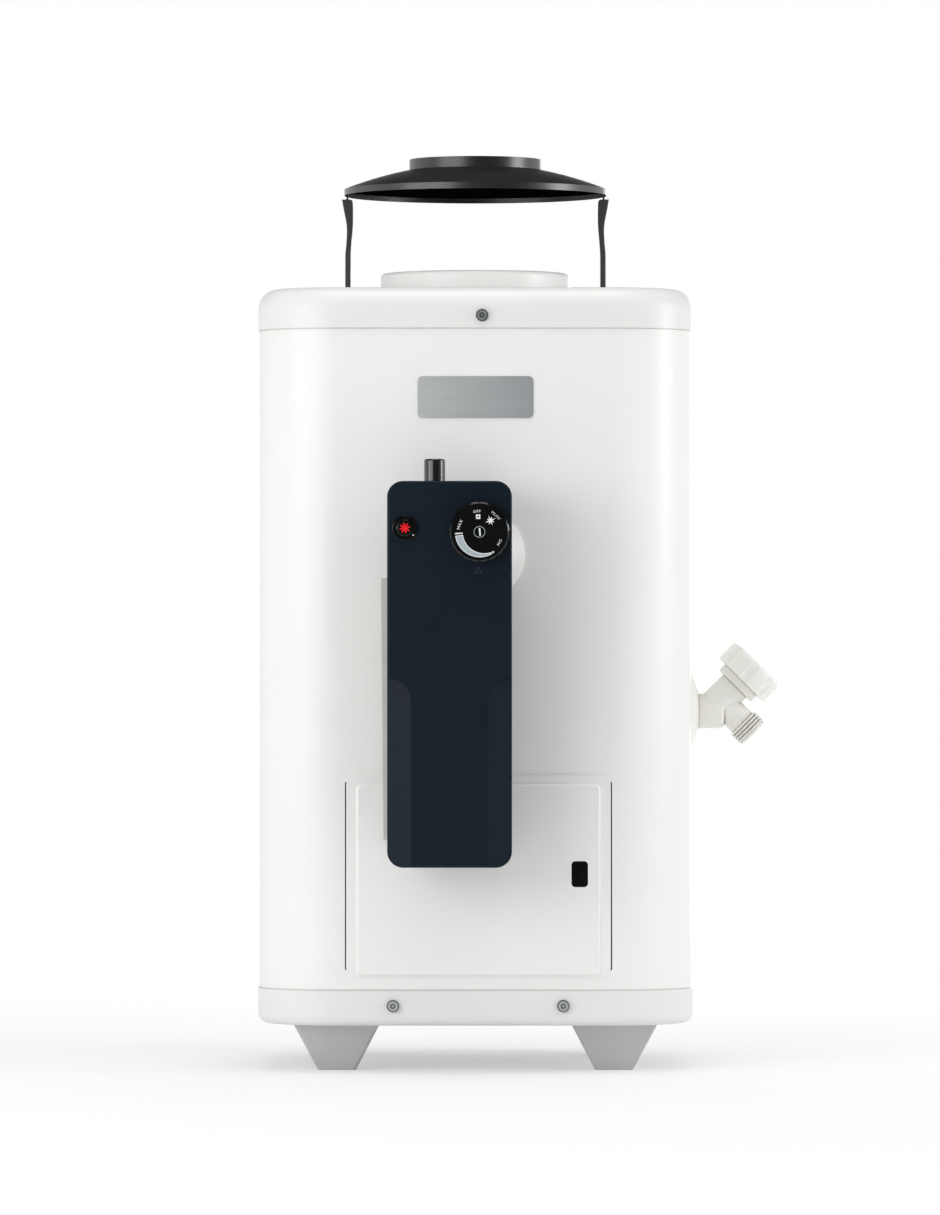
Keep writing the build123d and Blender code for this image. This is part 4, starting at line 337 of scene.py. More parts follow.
def machined_brass():
    """Turned free-cutting brass: yellow metal, tool marks and a little brown tarnish."""
    material, tree, shader, here = new_finish("machined_brass", {"Metallic": 1.0})
    stain = add(tree, "ShaderNodeTexNoise", {"Scale": per_mm(7), "Detail": 4.0}, {"Vector": here})
    tint = add(tree, "ShaderNodeMix", {"data_type": "RGBA", 6: linear("#A8874B"), 7: linear("#D0B06A")},
               {0: (stain, "Fac")})
    gloss = add(tree, "ShaderNodeMapRange", {"To Min": 0.29, "To Max": 0.44}, {"Value": (stain, "Fac")})
    # Turning marks 0.5 mm apart
    marks = add(tree, "ShaderNodeTexWave", {"Scale": wave_mm(0.5), "bands_direction": "Z", "Distortion": 0.4},
                {"Vector": here})
    bump = add(tree, "ShaderNodeBump", {"Strength": 0.1, "Distance": 0.00005}, {"Height": (marks, "Fac")})
    dress(tree, shader, tint, gloss, bump)
    return material


# Finishes of the tank and its insulation

def vitreous_enamel():
    """Glass enamel fired on the tank: dark blue grey, glossy, flecked and slightly wavy."""
    material, tree, shader, here = new_finish("vitreous_enamel_on_steel", {"IOR": 1.52})
    fleck = add(tree, "ShaderNodeTexVoronoi", {"Scale": per_mm(2.2)}, {"Vector": here})
    spots = add(tree, "ShaderNodeMapRange", {"From Min": 0.0, "From Max": 0.35},
                {"Value": (fleck, "Distance")})
    tint = add(tree, "ShaderNodeMix", {"data_type": "RGBA", 6: linear("#56626F"), 7: linear("#2C3642")},
               {0: (spots, "Result")})
    wave = add(tree, "ShaderNodeTexNoise", {"Scale": per_mm(11), "Detail": 1.0}, {"Vector": here})
    gloss = add(tree, "ShaderNodeMapRange", {"To Min": 0.14, "To Max": 0.26}, {"Value": (wave, "Fac")})
    bump = add(tree, "ShaderNodeBump", {"Strength": 0.12, "Distance": 0.0004}, {"Height": (wave, "Fac")})
    dress(tree, shader, tint, gloss, bump)
    return material


def glass_wool():
    """Glass wool: yellow tangled fibre, quite matt, with pale wisps."""
    material, tree, shader, here = new_finish(
        "glass_wool", {"IOR": 1.4, "Roughness": 0.95, "Sheen Weight": 0.3})
    # Fibre clumps 9 mm across and 2.5 mm high
    lay = add(tree, "ShaderNodeMapping", {"Scale": (per_mm(9), per_mm(9), per_mm(2.5))}, {"Vector": here})
    fibre = add(tree, "ShaderNodeTexNoise",
                {"Scale": 1.0, "Detail": 8.0, "Roughness": 0.7, "Distortion": 1.5},
                {"Vector": (lay, "Vector")})
    tint = add(tree, "ShaderNodeMix", {"data_type": "RGBA", 6: linear("#C9A94F"), 7: linear("#F0DFA2")},
               {0: (fibre, "Fac")})
    bump = add(tree, "ShaderNodeBump", {"Strength": 0.7, "Distance": 0.001}, {"Height": (fibre, "Fac")})
    join(tree, shader, {"Base Color": (tint, 2), "Normal": (bump, "Normal")})
    return material


# Finishes by name

CASING_SEAMS = (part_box("base_pan")[1].z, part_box("top_cap")[0].z)
ENAMEL = gloss_white_enamel("gloss_white_enamel_on_steel", "#EEEEEC", "#F4F4F2", CASING_SEAMS)
PRESSED_ENAMEL = gloss_white_enamel("gloss_white_enamel_on_pressed_ends", "#E6E6E4", "#ECECEA", ())
# Whiter copy of the enamel for the collar: painted light that lifts the shade under the hood
LIGHTENED_COLLAR_ENAMEL = gloss_white_enamel("gloss_white_enamel_lightened_on_collar", "#F9F9F7", "#FCFCFA", ())
STRIP_PAINT = charcoal_strip_paint()
POWDER_COAT = grey_powder_coat()
COVER_ABS = textured_black_abs()
GLOSS_ABS = gloss_black_abs()
IVORY = ivory_polypropylene()
BRASS = machined_brass()
TANK_ENAMEL = vitreous_enamel()
WHITE_INK = pad_print_ink("white_pad_print_ink", "#D9DCDD", "#EEF0F0")
GREY_INK = pad_print_ink("blue_grey_pad_print_ink", "#9FABB1", "#ADB8BD")
RED_INK = pad_print_ink("red_pad_print_ink", "#D80416", "#F00A1E")
DARK_INK = pad_print_ink("slate_pad_print_ink", "#2B333E", "#343D49")
# Bright zinc plate on rolled screws and pipe: cool silver with cloudy patches
ZINC = mottled(
    "bright_zinc_plated_steel", {"Metallic": 1.0}, {"Scale": per_mm(3.5), "Detail": 4.0},
    ("#9A9EA0", "#C4C7C8"), (0.29, 0.46),
    relief={"Strength": 0.08, "Distance": 0.0001}, grain={"Scale": per_mm(0.6), "Detail": 2.0})
# Phenolic moulded and buffed: black with broad bright highlights and a fine skin
PHENOLIC = mottled(
    "buffed_black_phenolic_moulding", {"IOR": 1.6, "Specular IOR Level": 0.7},
    {"Scale": per_mm(1.2), "Detail": 3.0}, ("#060708", "#0C0D0F"), (0.19, 0.26),
    relief={"Strength": 0.05, "Distance": 0.0001})
# Polyethylene moulding: soft white, satin, slightly warmer than the enamel beside it
POLYETHYLENE = mottled(
    "white_polyethylene_moulding",
    {"IOR": 1.51, "Subsurface Weight": 0.1, "Subsurface Scale": 2 * MM, "Subsurface Radius": (1.0, 0.9, 0.8)},
    {"Scale": per_mm(25), "Detail": 3.0}, ("#E9E8E6", "#F0EFED"), (0.3, 0.46),
    relief={"Strength": 0.05, "Distance": 0.0002}, grain={"Scale": per_mm(1.8), "Detail": 2.0})
# Die-cast aluminium: dull grey metal, grainy, with the skin's flow clouds
DIE_CAST = mottled(
    "die_cast_aluminium", {"Metallic": 1.0}, {"Scale": per_mm(12), "Detail": 5.0},
    ("#8C8F91", "#AEB1B3"), (0.42, 0.6),
    relief={"Strength": 0.25, "Distance": 0.0002}, grain={"Scale": per_mm(0.7), "Detail": 3.0})
# Primer brushed on a bent steel strap: chalky beige grey with thin spots
PRIMER = mottled(
    "beige_primer_on_steel", {"IOR": 1.5}, {"Scale": per_mm(14), "Detail": 5.0},
    ("#C9C7C0", "#D9D7D0"), (0.5, 0.72),
    relief={"Strength": 0.15, "Distance": 0.0001}, grain={"Scale": per_mm(0.9), "Detail": 2.0})
# Hot-rolled sheet and drawn tube as they come from the mill: blue grey with darker scale
STEEL = mottled(
    "mill_finish_steel", {"Metallic": 1.0}, {"Scale": per_mm(20), "Detail": 6.0, "Roughness": 0.6},
    ("#6E7174", "#A3A5A6"), (0.34, 0.6),
    relief={"Strength": 0.1, "Distance": 0.0001}, grain={"Scale": per_mm(1.0), "Detail": 3.0})
# Sand-cast grey iron: dark, rough and granular
IRON = mottled(
    "sand_cast_iron", {"Metallic": 1.0}, {"Scale": per_mm(1.3), "Detail": 6.0, "Roughness": 0.7},
    ("#3A3A3B", "#5C5B5A"), (0.58, 0.82), relief={"Strength": 0.5, "Distance": 0.0004})
# Cast magnesium rod: pale grey metal with a dull oxide bloom
MAGNESIUM = mottled(
    "cast_magnesium", {"Metallic": 1.0}, {"Scale": per_mm(6), "Detail": 5.0},
    ("#96989A", "#C2C3C4"), (0.45, 0.7), relief={"Strength": 0.2, "Distance": 0.0002})
# Moulded black rubber: charcoal, matt, with a dusty bloom
RUBBER = mottled(
    "moulded_black_rubber", {"IOR": 1.52, "Specular IOR Level": 0.35}, {"Scale": per_mm(4), "Detail": 4.0},
    ("#19191A", "#2A2A2A"), (0.6, 0.85), relief={"Strength": 0.1, "Distance": 0.0001})
# Smoked sight glass: almost black, polished, with a faint film of soot
SIGHT_GLASS = mottled(
    "smoked_sight_glass", {"IOR": 1.52, "Specular IOR Level": 0.25}, {"Scale": per_mm(5), "Detail": 4.0},
    ("#050506", "#101012"), (0.04, 0.2))
# Glazed alumina sleeve: creamy white, glassy, with pinholes
ALUMINA = mottled(
    "glazed_alumina", {"IOR": 1.6}, {"Scale": per_mm(1.2), "Detail": 3.0},
    ("#DAD6CC", "#ECEAE3"), (0.12, 0.28))
# Drawn copper capillary: reddish metal, brown where it has been handled
COPPER = mottled(
    "drawn_copper", {"Metallic": 1.0}, {"Scale": per_mm(10), "Detail": 4.0},
    ("#7C523F", "#B98566"), (0.29, 0.45))

FINISH_OF = {
    "jacket": ENAMEL, "access_door": ENAMEL, "flue_collar": LIGHTENED_COLLAR_ENAMEL,
    "base_pan": PRESSED_ENAMEL, "top_cap": PRESSED_ENAMEL,
    "foot_front_left": POWDER_COAT, "foot_front_right": POWDER_COAT,
    "foot_rear_left": POWDER_COAT, "foot_rear_right": POWDER_COAT,
    "pan_screws": zinc_heads_with_oil_and_shade("zinc_plated_pan_screws", "pan_screws"),
    "cap_screws": zinc_heads_with_oil_and_shade("zinc_plated_cap_screws", "cap_screws"),
    "foot_screws": ZINC, "bracket_screws": ZINC, "cold_inlet_nipple": ZINC, "hot_outlet_nipple": ZINC,
    "name_plate": brushed_aluminium_plate(),
    "sight_window": SIGHT_GLASS,
    "draft_hood": satin_black_hood_paint(), "hood_leg_left": STRIP_PAINT, "hood_leg_right": STRIP_PAINT,
    "control_cover": COVER_ABS, "igniter_body": COVER_ABS, "pilot_bezel": GLOSS_ABS,
    "control_knob": GLOSS_ABS, "pilot_button": GLOSS_ABS, "igniter_button": PHENOLIC,
    "control_bracket": PRIMER,
    "thermostat_dome": POLYETHYLENE, "pipe_rings": POLYETHYLENE,
    "gas_valve": DIE_CAST,
    "thermostat_probe": BRASS, "gas_inlet_fitting": BRASS, "valve_spindle": BRASS,
    "burner_orifice": BRASS, "pilot_burner": BRASS,
    "drain_escutcheon": IVORY, "drain_valve_body": IVORY, "drain_bonnet": IVORY,
    "drain_stem": IVORY, "drain_handle": IVORY,
    "water_tank": TANK_ENAMEL, "flue_tube": TANK_ENAMEL,
    "flue_baffle": STEEL, "combustion_chamber": STEEL, "inner_door": STEEL, "burner_stand": STEEL,
    "pilot_bracket": STEEL, "manifold_tube": STEEL, "pilot_tube": STEEL,
    "burner_body": IRON, "burner_cap": IRON,
    "anode_rod": MAGNESIUM,
    "insulation": glass_wool(),
    "tube_grommet": RUBBER, "drain_washer": RUBBER, "ignition_lead": RUBBER,
    "spark_electrode": ALUMINA,
    "thermocouple": COPPER,
}
for node_name, finish in FINISH_OF.items():
    node_mesh = heater_nodes[node_name].data
    node_mesh.materials.clear()
    node_mesh.materials.append(finish)


# Sizes of the printed marks, in millimetres

# Ink stands out of the plastic by its rise, and its back is sunk into it
INK_RISE = 0.05
INK_SUNK = 0.03
# A capital is this share of the letter size, and letters are spread by a factor
CAPITAL_SHARE = 0.72
LETTER_SPREAD = 1.12
LETTER_RISE = 0.04
DOT_SIDES = 16
RING_SIDES = 48

# The dial's face lies behind the front of its rim
DIAL_RIM = 0.5
# Heat scale: start and end angle in degrees, then outer radius and width at both ends
HEAT_BAND = (189.5, 300, (18.4, 19.1), (5.8, 1.5))
HEAT_STEPS = 40
HEAT_RISE = 1.3
HEAT_THINNING = 1.8
HEAT_FILL_INSET = 0.6
HEAT_FILL_LIFT = 0.03
# Places on the dial are a radius and an angle in degrees
HEAT_BAR = ((12.6, 182.6), (18.4, 182.6), (18.4, 186.0), (12.6, 186.0))
LOW_DOT_PLACE = (18.3, -56)
LOW_DOT_RADIUS = 0.75
PILOT_STAR_TIPS = (4.3, 3.2, 4.0, 3.0, 4.2, 3.2, 3.9, 3.3)
PILOT_STAR_NOTCH = 1.4
PILOT_STAR_PLACE = (11.8, 46)
PILOT_STAR_TURN = 22
OFF_MARK = ((-1.6, -1.7), (1.6, -1.7), (1.6, 1.7), (-1.6, 1.7))
OFF_MARK_HOLE = 0.36
OFF_MARK_PLACE = (11.4, 95)
CENTRE_RING = (4.3, 3.9)
CENTRE_SLOT = ((-0.1, -2.9), (1.1, -2.9), (0.6, 2.9), (-0.6, 2.9))
# Words of the dial, each with its angle, radius and height
DIAL_WORDS = (
    ("OFF", 97, 14.5, 2.1), ("PILOT", 45, 16.6, 1.9), ("MAX", 160, 14.9, 2.3), ("ON", -28, 16.0, 2.1),
)

ROSETTE_RADIUS = 3.0
ROSETTE_SWELL = 1.15
ROSETTE_PETALS = 8
ROSETTE_TURN = 12
# Painted highlight on the pilot bezel: a white dot's place and radius
HIGHLIGHT_DOT_PLACE = (8.1, -40)
HIGHLIGHT_DOT_RADIUS = 0.55
# Pointer on the cover: place across and up in the heater's frame
POINTER_PLACE = (2.0, 382.5)
POINTER_RADIUS = 3.4
POINTER_HOLE = 0.72

# Sizes of the threads and the hood's legs, in millimetres

# Threads: root and crest radius, pitch and length
NIPPLE_THREAD = (10.4, 10.95, 1.81, 19.6)
NIPPLE_THREAD_START = 20.0
GAS_THREAD = (7.9, 8.3, 1.41, 17.6)
GAS_THREAD_START = 18.0
THREAD_STEPS = 40
# Steps over which a thread rises and runs out
THREAD_RUN_OUT = 14
# Half width of a ridge as a share of the pitch, and of its crest as a share of that
THREAD_FLANK = 0.42
THREAD_CREST = 0.15
THREAD_SUNK = 0.08

# Rows of a leg: drop below the head, inner and outer edge from the leg's line, and depth
LEG_ROWS = (
    (0.0, -3.6, 4.8, 2.6), (8.0, -3.9, 3.4, 3.0), (21.0, -3.8, 1.1, 5.0), (33.0, -2.8, 1.2, 7.6),
    (44.0, -2.1, 2.1, 10.0), (76.0, -2.0, 2.2, 10.0),
)
LEG_HEAD_ROUND = 2.2
LEG_HEAD_ANGLES = range(0, 90, 15)
LEG_TWIST_DROPS = range(3, 46)
LEG_BEVEL = 0.5
LEG_SHARP_ANGLE = 30
# Tongue in the rim and tab in the cap: length, then inner edge, outer edge, depth and bevel of the bar
LEG_TONGUE = 5.4
LEG_TONGUE_LAP = 1.0
LEG_TONGUE_BAR = (-0.2, 1.4, 2.6, 0.2)
LEG_TAB = 7.0
LEG_TAB_BAR = (-1.3, 1.3, 6.0, 0.2)


# Printed marks, threads and hood legs

def box_mm(node):
    """Lowest and highest corner of a node, in millimetres."""
    return [Vector(corner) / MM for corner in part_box(node)]


def front_of(node):
    """Middle of a node seen from the front, as across and up, and the depth of its front."""
    low, high = box_mm(node)
    return ((low.x + high.x) / 2, (low.z + high.z) / 2), low.y


def new_piece(name, points, faces, finish, body):
    """Mesh piece in the heater's frame, in millimetres, that rides on a body."""
    mesh = bpy.data.meshes.new(name)
    mesh.from_pydata([Vector(point) * MM for point in points], [], faces)
    shape = bmesh.new()
    shape.from_mesh(mesh)
    bmesh.ops.recalc_face_normals(shape, faces=shape.faces)
    shape.to_mesh(mesh)
    shape.free()
    mesh.materials.append(finish)
    piece = bpy.data.objects.new(name, mesh)
    bpy.context.collection.objects.link(piece)
    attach(piece, body)
    return piece


def ink_points(outline, centre, face_y):
    """Front and back rings of points of a print that faces the front, from an outline of across and up."""
    return [(centre[0] + across, depth, centre[1] + up)
            for depth in (face_y - INK_RISE, face_y + INK_SUNK) for across, up in outline]


def printed_patch(name, outline, centre, face_y, finish, body):
    """Thin ink patch on a front-facing surface."""
    count = len(outline)
    sides = [(i, (i + 1) % count, count + (i + 1) % count, count + i) for i in range(count)]
    faces = [tuple(range(count)), tuple(range(2 * count - 1, count - 1, -1))] + sides
    new_piece(name, ink_points(outline, centre, face_y), faces, finish, body)


def printed_loop(name, outer, inner, centre, face_y, finish, body):
    """Thin ink line between an outer and an inner outline with as many points."""
    count = len(outer)
    points = ink_points(outer, centre, face_y) + ink_points(inner, centre, face_y)
    faces = []
    for i in range(count):
        j = (i + 1) % count
        out_front, out_front_next, out_back, out_back_next = i, j, count + i, count + j
        in_front, in_front_next = 2 * count + i, 2 * count + j
        in_back, in_back_next = 3 * count + i, 3 * count + j
        faces += [
            (out_front, out_front_next, in_front_next, in_front),
            (out_back, in_back, in_back_next, out_back_next),
            (out_front, out_back, out_back_next, out_front_next),
            (in_front, in_front_next, in_back_next, in_back),
        ]
    new_piece(name, points, faces, finish, body)


def polar(radius, angle):
    """Point at a radius and an angle in degrees."""
    return radius * cos(radians(angle)), radius * sin(radians(angle))


def circle(radius, count, middle=(0.0, 0.0)):
    """Points round a circle."""
    return [(middle[0] + radius * cos(2 * pi * i / count), middle[1] + radius * sin(2 * pi * i / count))
            for i in range(count)]


def star(tips, notch, middle, turn):
    """Star outline through tip radii in turn, with its notches between them."""
    outline = []
    for index, tip in enumerate(tips):
        for radius, step in ((tip, 0.0), (notch, 0.5)):
            angle = radians(turn) + 2 * pi * (index + step) / len(tips)
            outline.append((middle[0] + radius * cos(angle), middle[1] + radius * sin(angle)))
    return outline


def shrunk(outline, share):
    """Outline drawn nearer to its middle."""
    return [(across * share, up * share) for across, up in outline]


def heat_crescent(start, end, outers, widths, inset=0.0):
    """Band along the dial's edge that thins towards its end, shrunk all round by an inset."""
    spare = degrees(inset / outers[0])
    edge, inner = [], []
    for step in range(HEAT_STEPS + 1):
        angle = start + spare + (end - start - 2 * spare) * step / HEAT_STEPS
        share = (angle - start) / (end - start)
        outer = outers[0] + (outers[1] - outers[0]) * min(1.0, share * HEAT_RISE)
        width = widths[0] + (widths[1] - widths[0]) * share ** HEAT_THINNING
        edge.append(polar(outer - inset, angle))
        inner.append(polar(outer - width + inset, angle))
    return edge + inner[::-1]


def dial_word(text, angle, radius, height, centre, face_y, finish, body):
    """Word printed round the dial, tops outwards, centred on an angle in degrees."""
    letters = bpy.data.curves.new("dial_letters", "FONT")
    letters.body = text
    letters.size = height / CAPITAL_SHARE
    letters.align_x = "CENTER"
    letters.space_character = LETTER_SPREAD
    letters.extrude = LETTER_RISE
    letters.resolution_u = 3
    shape_object = bpy.data.objects.new("dial_letters", letters)
    bpy.context.collection.objects.link(shape_object)
    bpy.context.view_layer.update()
    shape = bmesh.new()
    shape.from_mesh(bpy.data.meshes.new_from_object(shape_object))
    bpy.data.objects.remove(shape_object)
    bmesh.ops.remove_doubles(shape, verts=shape.verts, dist=1e-5)
    for vert in shape.verts:
        bearing = radians(angle) - vert.co.x / radius
        reach = radius + vert.co.y
        vert.co = (centre[0] + reach * cos(bearing), face_y - vert.co.z, centre[1] + reach * sin(bearing))
    shape.verts.index_update()
    points = [tuple(vert.co) for vert in shape.verts]
    faces = [tuple(vert.index for vert in face.verts) for face in shape.faces]
    shape.free()
    new_piece(f"dial_word_{text.lower()}", points, faces, finish, body)


def thread_ridge(name, start, axis, thread, finish, body):
    """Helical thread ridge round a pipe end: starts at a point and runs along an axis."""
    root, crest, pitch, length = thread
    forward = Vector(axis).normalized()
    sideways = forward.orthogonal().normalized()
    upwards = forward.cross(sideways)
    flank = pitch * THREAD_FLANK
    ridge_top = flank * THREAD_CREST
    foot = root - THREAD_SUNK
    steps = int((length / pitch - 1.0) * THREAD_STEPS)
    points = []
    for step in range(steps + 1):
        angle = 2 * pi * step / THREAD_STEPS
        rise = min(1.0, step / THREAD_RUN_OUT, (steps - step) / THREAD_RUN_OUT)
        top = root + (crest - root) * rise
        out = sideways * cos(angle) + upwards * sin(angle)
        middle = Vector(start) + forward * (pitch * (0.5 + step / THREAD_STEPS))
        for lift, along in ((foot, -flank), (top, -ridge_top), (top, ridge_top), (foot, flank)):
            points.append(tuple(middle + out * lift + forward * along))
    faces = []
    for step in range(steps):
        base = 4 * step
        faces += [(base + i, base + (i + 1) % 4, base + 4 + (i + 1) % 4, base + 4 + i) for i in range(4)]
    faces += [(3, 2, 1, 0), tuple(4 * steps + i for i in range(4))]
    ridge = new_piece(name, points, faces, finish, body)
    for face in ridge.data.polygons:
        face.use_smooth = True


def row_at(rows, place):
    """Values at a place, on a smooth curve through rows that each start with their place."""
    index = max(i for i, row in enumerate(rows[:-1]) if row[0] <= place)
    first, last = rows[index], rows[index + 1]
    before, after = rows[max(index - 1, 0)], rows[min(index + 2, len(rows) - 1)]
    span = last[0] - first[0]
    t = (place - first[0]) / span
    values = []
    for k in range(1, len(first)):
        leaving = (last[k] - before[k]) / (last[0] - before[0]) * span
        arriving = (after[k] - first[k]) / (after[0] - first[0]) * span
        values.append(first[k] * (2 * t ** 3 - 3 * t ** 2 + 1) + last[k] * (3 * t ** 2 - 2 * t ** 3)
                      + leaving * (t ** 3 - 2 * t ** 2 + t) + arriving * (t ** 3 - t ** 2))
    return values


def bevelled_ring(inner, outer, depth, bevel, middle, outward, height):
    """Level ring of points of a bar with bevelled edges, its inner edge towards the flue."""
    half = depth / 2
    corners = [
        (inner + bevel, -half), (outer - bevel, -half), (outer, -half + bevel), (outer, half - bevel),
        (outer - bevel, half), (inner + bevel, half), (inner, half - bevel), (inner, -half + bevel),
    ]
    return [(middle.x + outward * across, middle.y + back, height) for across, back in corners]


def stacked(rings, start):
    """Faces of a closed tube through rings of points, numbered from a start."""
    count = len(rings[0])
    faces = []
    for level in range(len(rings) - 1):
        low = start + level * count
        faces += [(low + i, low + (i + 1) % count, low + count + (i + 1) % count, low + count + i)
                  for i in range(count)]
    last = start + (len(rings) - 1) * count
    return faces + [tuple(range(start, start + count)), tuple(range(last, last + count))]


def strip_leg(node, outward):
    """Leg of the hood: flat strip with a quarter twist and a tapered head, a tongue above and a tab below."""
    low, high = box_mm(node)
    middle = (low + high) / 2
    head, foot = high.z - LEG_TONGUE, low.z + LEG_TAB
    drops = [LEG_HEAD_ROUND * (1 - cos(radians(angle))) for angle in LEG_HEAD_ANGLES]
    drops += [*LEG_TWIST_DROPS, head - foot]
    strip = []
    for drop in drops:
        inner, outer, depth = row_at(LEG_ROWS, min(drop, LEG_ROWS[-1][0]))
        short = max(LEG_HEAD_ROUND - drop, 0.0)
        inner += LEG_HEAD_ROUND - sqrt(LEG_HEAD_ROUND ** 2 - short ** 2)
        strip.append(bevelled_ring(inner, outer, depth, LEG_BEVEL, middle, outward, head - drop))
    tongue = [bevelled_ring(*LEG_TONGUE_BAR, middle, outward, z) for z in (head - LEG_TONGUE_LAP, high.z)]
    tab = [bevelled_ring(*LEG_TAB_BAR, middle, outward, z) for z in (low.z, foot)]
    points, faces = [], []
    for rings in (strip, tongue, tab):
        faces += stacked(rings, len(points))
        points += [point for ring in rings for point in ring]
    leg = new_piece(f"{node}_strip", points, faces, STRIP_PAINT, "heater")
    for face in leg.data.polygons:
        face.use_smooth = True
    leg.data.set_sharp_from_angle(angle=radians(LEG_SHARP_ANGLE))
    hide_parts(node)


strip_leg("hood_leg_left", -1)
strip_leg("hood_leg_right", 1)

DIAL, dial_front = front_of("control_knob")
DIAL_FACE = dial_front + DIAL_RIM

# Heat scale: a band that thins from the hot end round to the low end, with a bar across its start
printed_patch("dial_scale_edge", heat_crescent(*HEAT_BAND), DIAL, DIAL_FACE, WHITE_INK, "dial")
heat_fill = heat_crescent(*HEAT_BAND, inset=HEAT_FILL_INSET)
printed_patch("dial_scale_fill", heat_fill, DIAL, DIAL_FACE - HEAT_FILL_LIFT, GREY_INK, "dial")
heat_bar = [polar(radius, angle) for radius, angle in HEAT_BAR]
printed_patch("dial_scale_bar", heat_bar, DIAL, DIAL_FACE, WHITE_INK, "dial")
low_dot = circle(LOW_DOT_RADIUS, DOT_SIDES, polar(*LOW_DOT_PLACE))
printed_patch("dial_low_dot", low_dot, DIAL, DIAL_FACE, WHITE_INK, "dial")
# Pilot star, with slender points of uneven length
pilot_star = star(PILOT_STAR_TIPS, PILOT_STAR_NOTCH, polar(*PILOT_STAR_PLACE), PILOT_STAR_TURN)
printed_patch("dial_pilot_star", pilot_star, DIAL, DIAL_FACE, WHITE_INK, "dial")
# Off mark: a square with a dark middle
off_across, off_up = polar(*OFF_MARK_PLACE)
off_middle = (DIAL[0] + off_across, DIAL[1] + off_up)
off_hole = shrunk(OFF_MARK, OFF_MARK_HOLE)
printed_loop("dial_off_mark", OFF_MARK, off_hole, off_middle, DIAL_FACE, WHITE_INK, "dial")
# Centre mark: a ring with a turning slot
ring_outer, ring_inner = (circle(radius, RING_SIDES) for radius in CENTRE_RING)
printed_loop("dial_centre_ring", ring_outer, ring_inner, DIAL, DIAL_FACE, GREY_INK, "dial")
printed_patch("dial_centre_slot", CENTRE_SLOT, DIAL, DIAL_FACE, WHITE_INK, "dial")
for word, angle, radius, height in DIAL_WORDS:
    dial_word(word, angle, radius, height, DIAL, DIAL_FACE, WHITE_INK, "dial")

BUTTON, BUTTON_FACE = front_of("pilot_button")
petals = [polar(ROSETTE_RADIUS + ROSETTE_SWELL * cos(ROSETTE_PETALS * radians(angle)), angle + ROSETTE_TURN)
          for angle in range(0, 360, 3)]
printed_patch("pilot_rosette", petals, BUTTON, BUTTON_FACE, RED_INK, "pilot_push")
# White ink dot on the bezel where a highlight falls: a painted highlight
highlight_dot = circle(HIGHLIGHT_DOT_RADIUS, DOT_SIDES, polar(*HIGHLIGHT_DOT_PLACE))
printed_patch("pilot_highlight_dot", highlight_dot, BUTTON, front_of("pilot_bezel")[1], WHITE_INK, "heater")

pointer = [polar(POINTER_RADIUS, angle) for angle in (90, 210, 330)]
pointer_hole = shrunk(pointer, POINTER_HOLE)
cover_front = front_of("control_cover")[1]
printed_loop("dial_pointer", pointer, pointer_hole, POINTER_PLACE, cover_front, DARK_INK, "heater")

for node_name in ("cold_inlet_nipple", "hot_outlet_nipple"):
    low, high = box_mm(node_name)
    start = ((low.x + high.x) / 2, high.y - NIPPLE_THREAD_START, (low.z + high.z) / 2)
    thread_ridge(f"{node_name}_thread", start, (0, 1, 0), NIPPLE_THREAD, ZINC, "heater")
low, high = box_mm("gas_inlet_fitting")
start = ((low.x + high.x) / 2, (low.y + high.y) / 2, low.z + GAS_THREAD_START)
thread_ridge("gas_inlet_thread", start, (0, 0, -1), GAS_THREAD, BRASS, "heater")


# Floor, light and camera, in metres

FLOOR_REACH = 40.0
# Lamps: name, place, target, size and watts
LAMPS = (
    ("key_left", (-0.95, -1.55, 0.65), (0.0, -0.2, 0.36), 0.8, 5.8),
    ("side_left", (-1.6, -1.15, 0.6), (0.0, -0.2, 0.36), 0.55, 4.2),
    ("side_right", (1.62, -0.35, 0.7), (0.1, 0.0, 0.36), 0.55, 6.8),
    ("top", (0.0, -0.45, 2.3), (0.0, -0.1, 0.6), 1.2, 12),
    ("back", (0.3, 1.9, 0.5), (0.0, 0.0, 0.36), 0.9, 12),
)
CAMERA_PLACE = (0.0, -6.0, 0.3268)
CAMERA_TARGET = (-0.0043, 0.0, 0.3562)
CAMERA_CLIP_END = 100.0
SENSOR_WIDTH_MM = 36.0
LENS_MM = 226.5


def white_surroundings():
    """White to the eye, dim overhead and in front in reflections, and a soft glow on the heater."""
    world = bpy.data.worlds.new("studio")
    world.use_nodes = True
    tree = world.node_tree
    tree.nodes.clear()
    path = add(tree, "ShaderNodeLightPath", {}, {})
    reflected = add(tree, "ShaderNodeMath", {"operation": "MAXIMUM"},
                    {0: (path, "Is Glossy Ray"), 1: (path, "Is Transmission Ray")})
    place = add(tree, "ShaderNodeTexCoord", {}, {})
    toward = add(tree, "ShaderNodeSeparateXYZ", {}, {"Vector": (place, "Generated")})
    behind = add(tree, "ShaderNodeMapRange",
                 {"From Min": -0.8, "From Max": -0.2, "To Min": 0.12, "To Max": 1.0},
                 {"Value": (toward, "Y")})
    below = add(tree, "ShaderNodeMapRange",
                {"From Min": 0.08, "From Max": 0.36, "To Min": 1.0, "To Max": 0.05}, {"Value": (toward, "Z")})
    studio = add(tree, "ShaderNodeMath", {"operation": "MULTIPLY"},
                 {0: (behind, "Result"), 1: (below, "Result")})
    unseen = add(tree, "ShaderNodeMix", {2: 0.62}, {0: (reflected, 0), 3: (studio, 0)})
    strength = add(tree, "ShaderNodeMix", {3: 1.0}, {0: (path, "Is Camera Ray"), 2: (unseen, 0)})
    glow = add(tree, "ShaderNodeBackground", {"Color": linear("#FFFFFF")}, {"Strength": (strength, 0)})
    add(tree, "ShaderNodeOutputWorld", {}, {"Surface": (glow, "Background")})
    bpy.context.scene.world = world


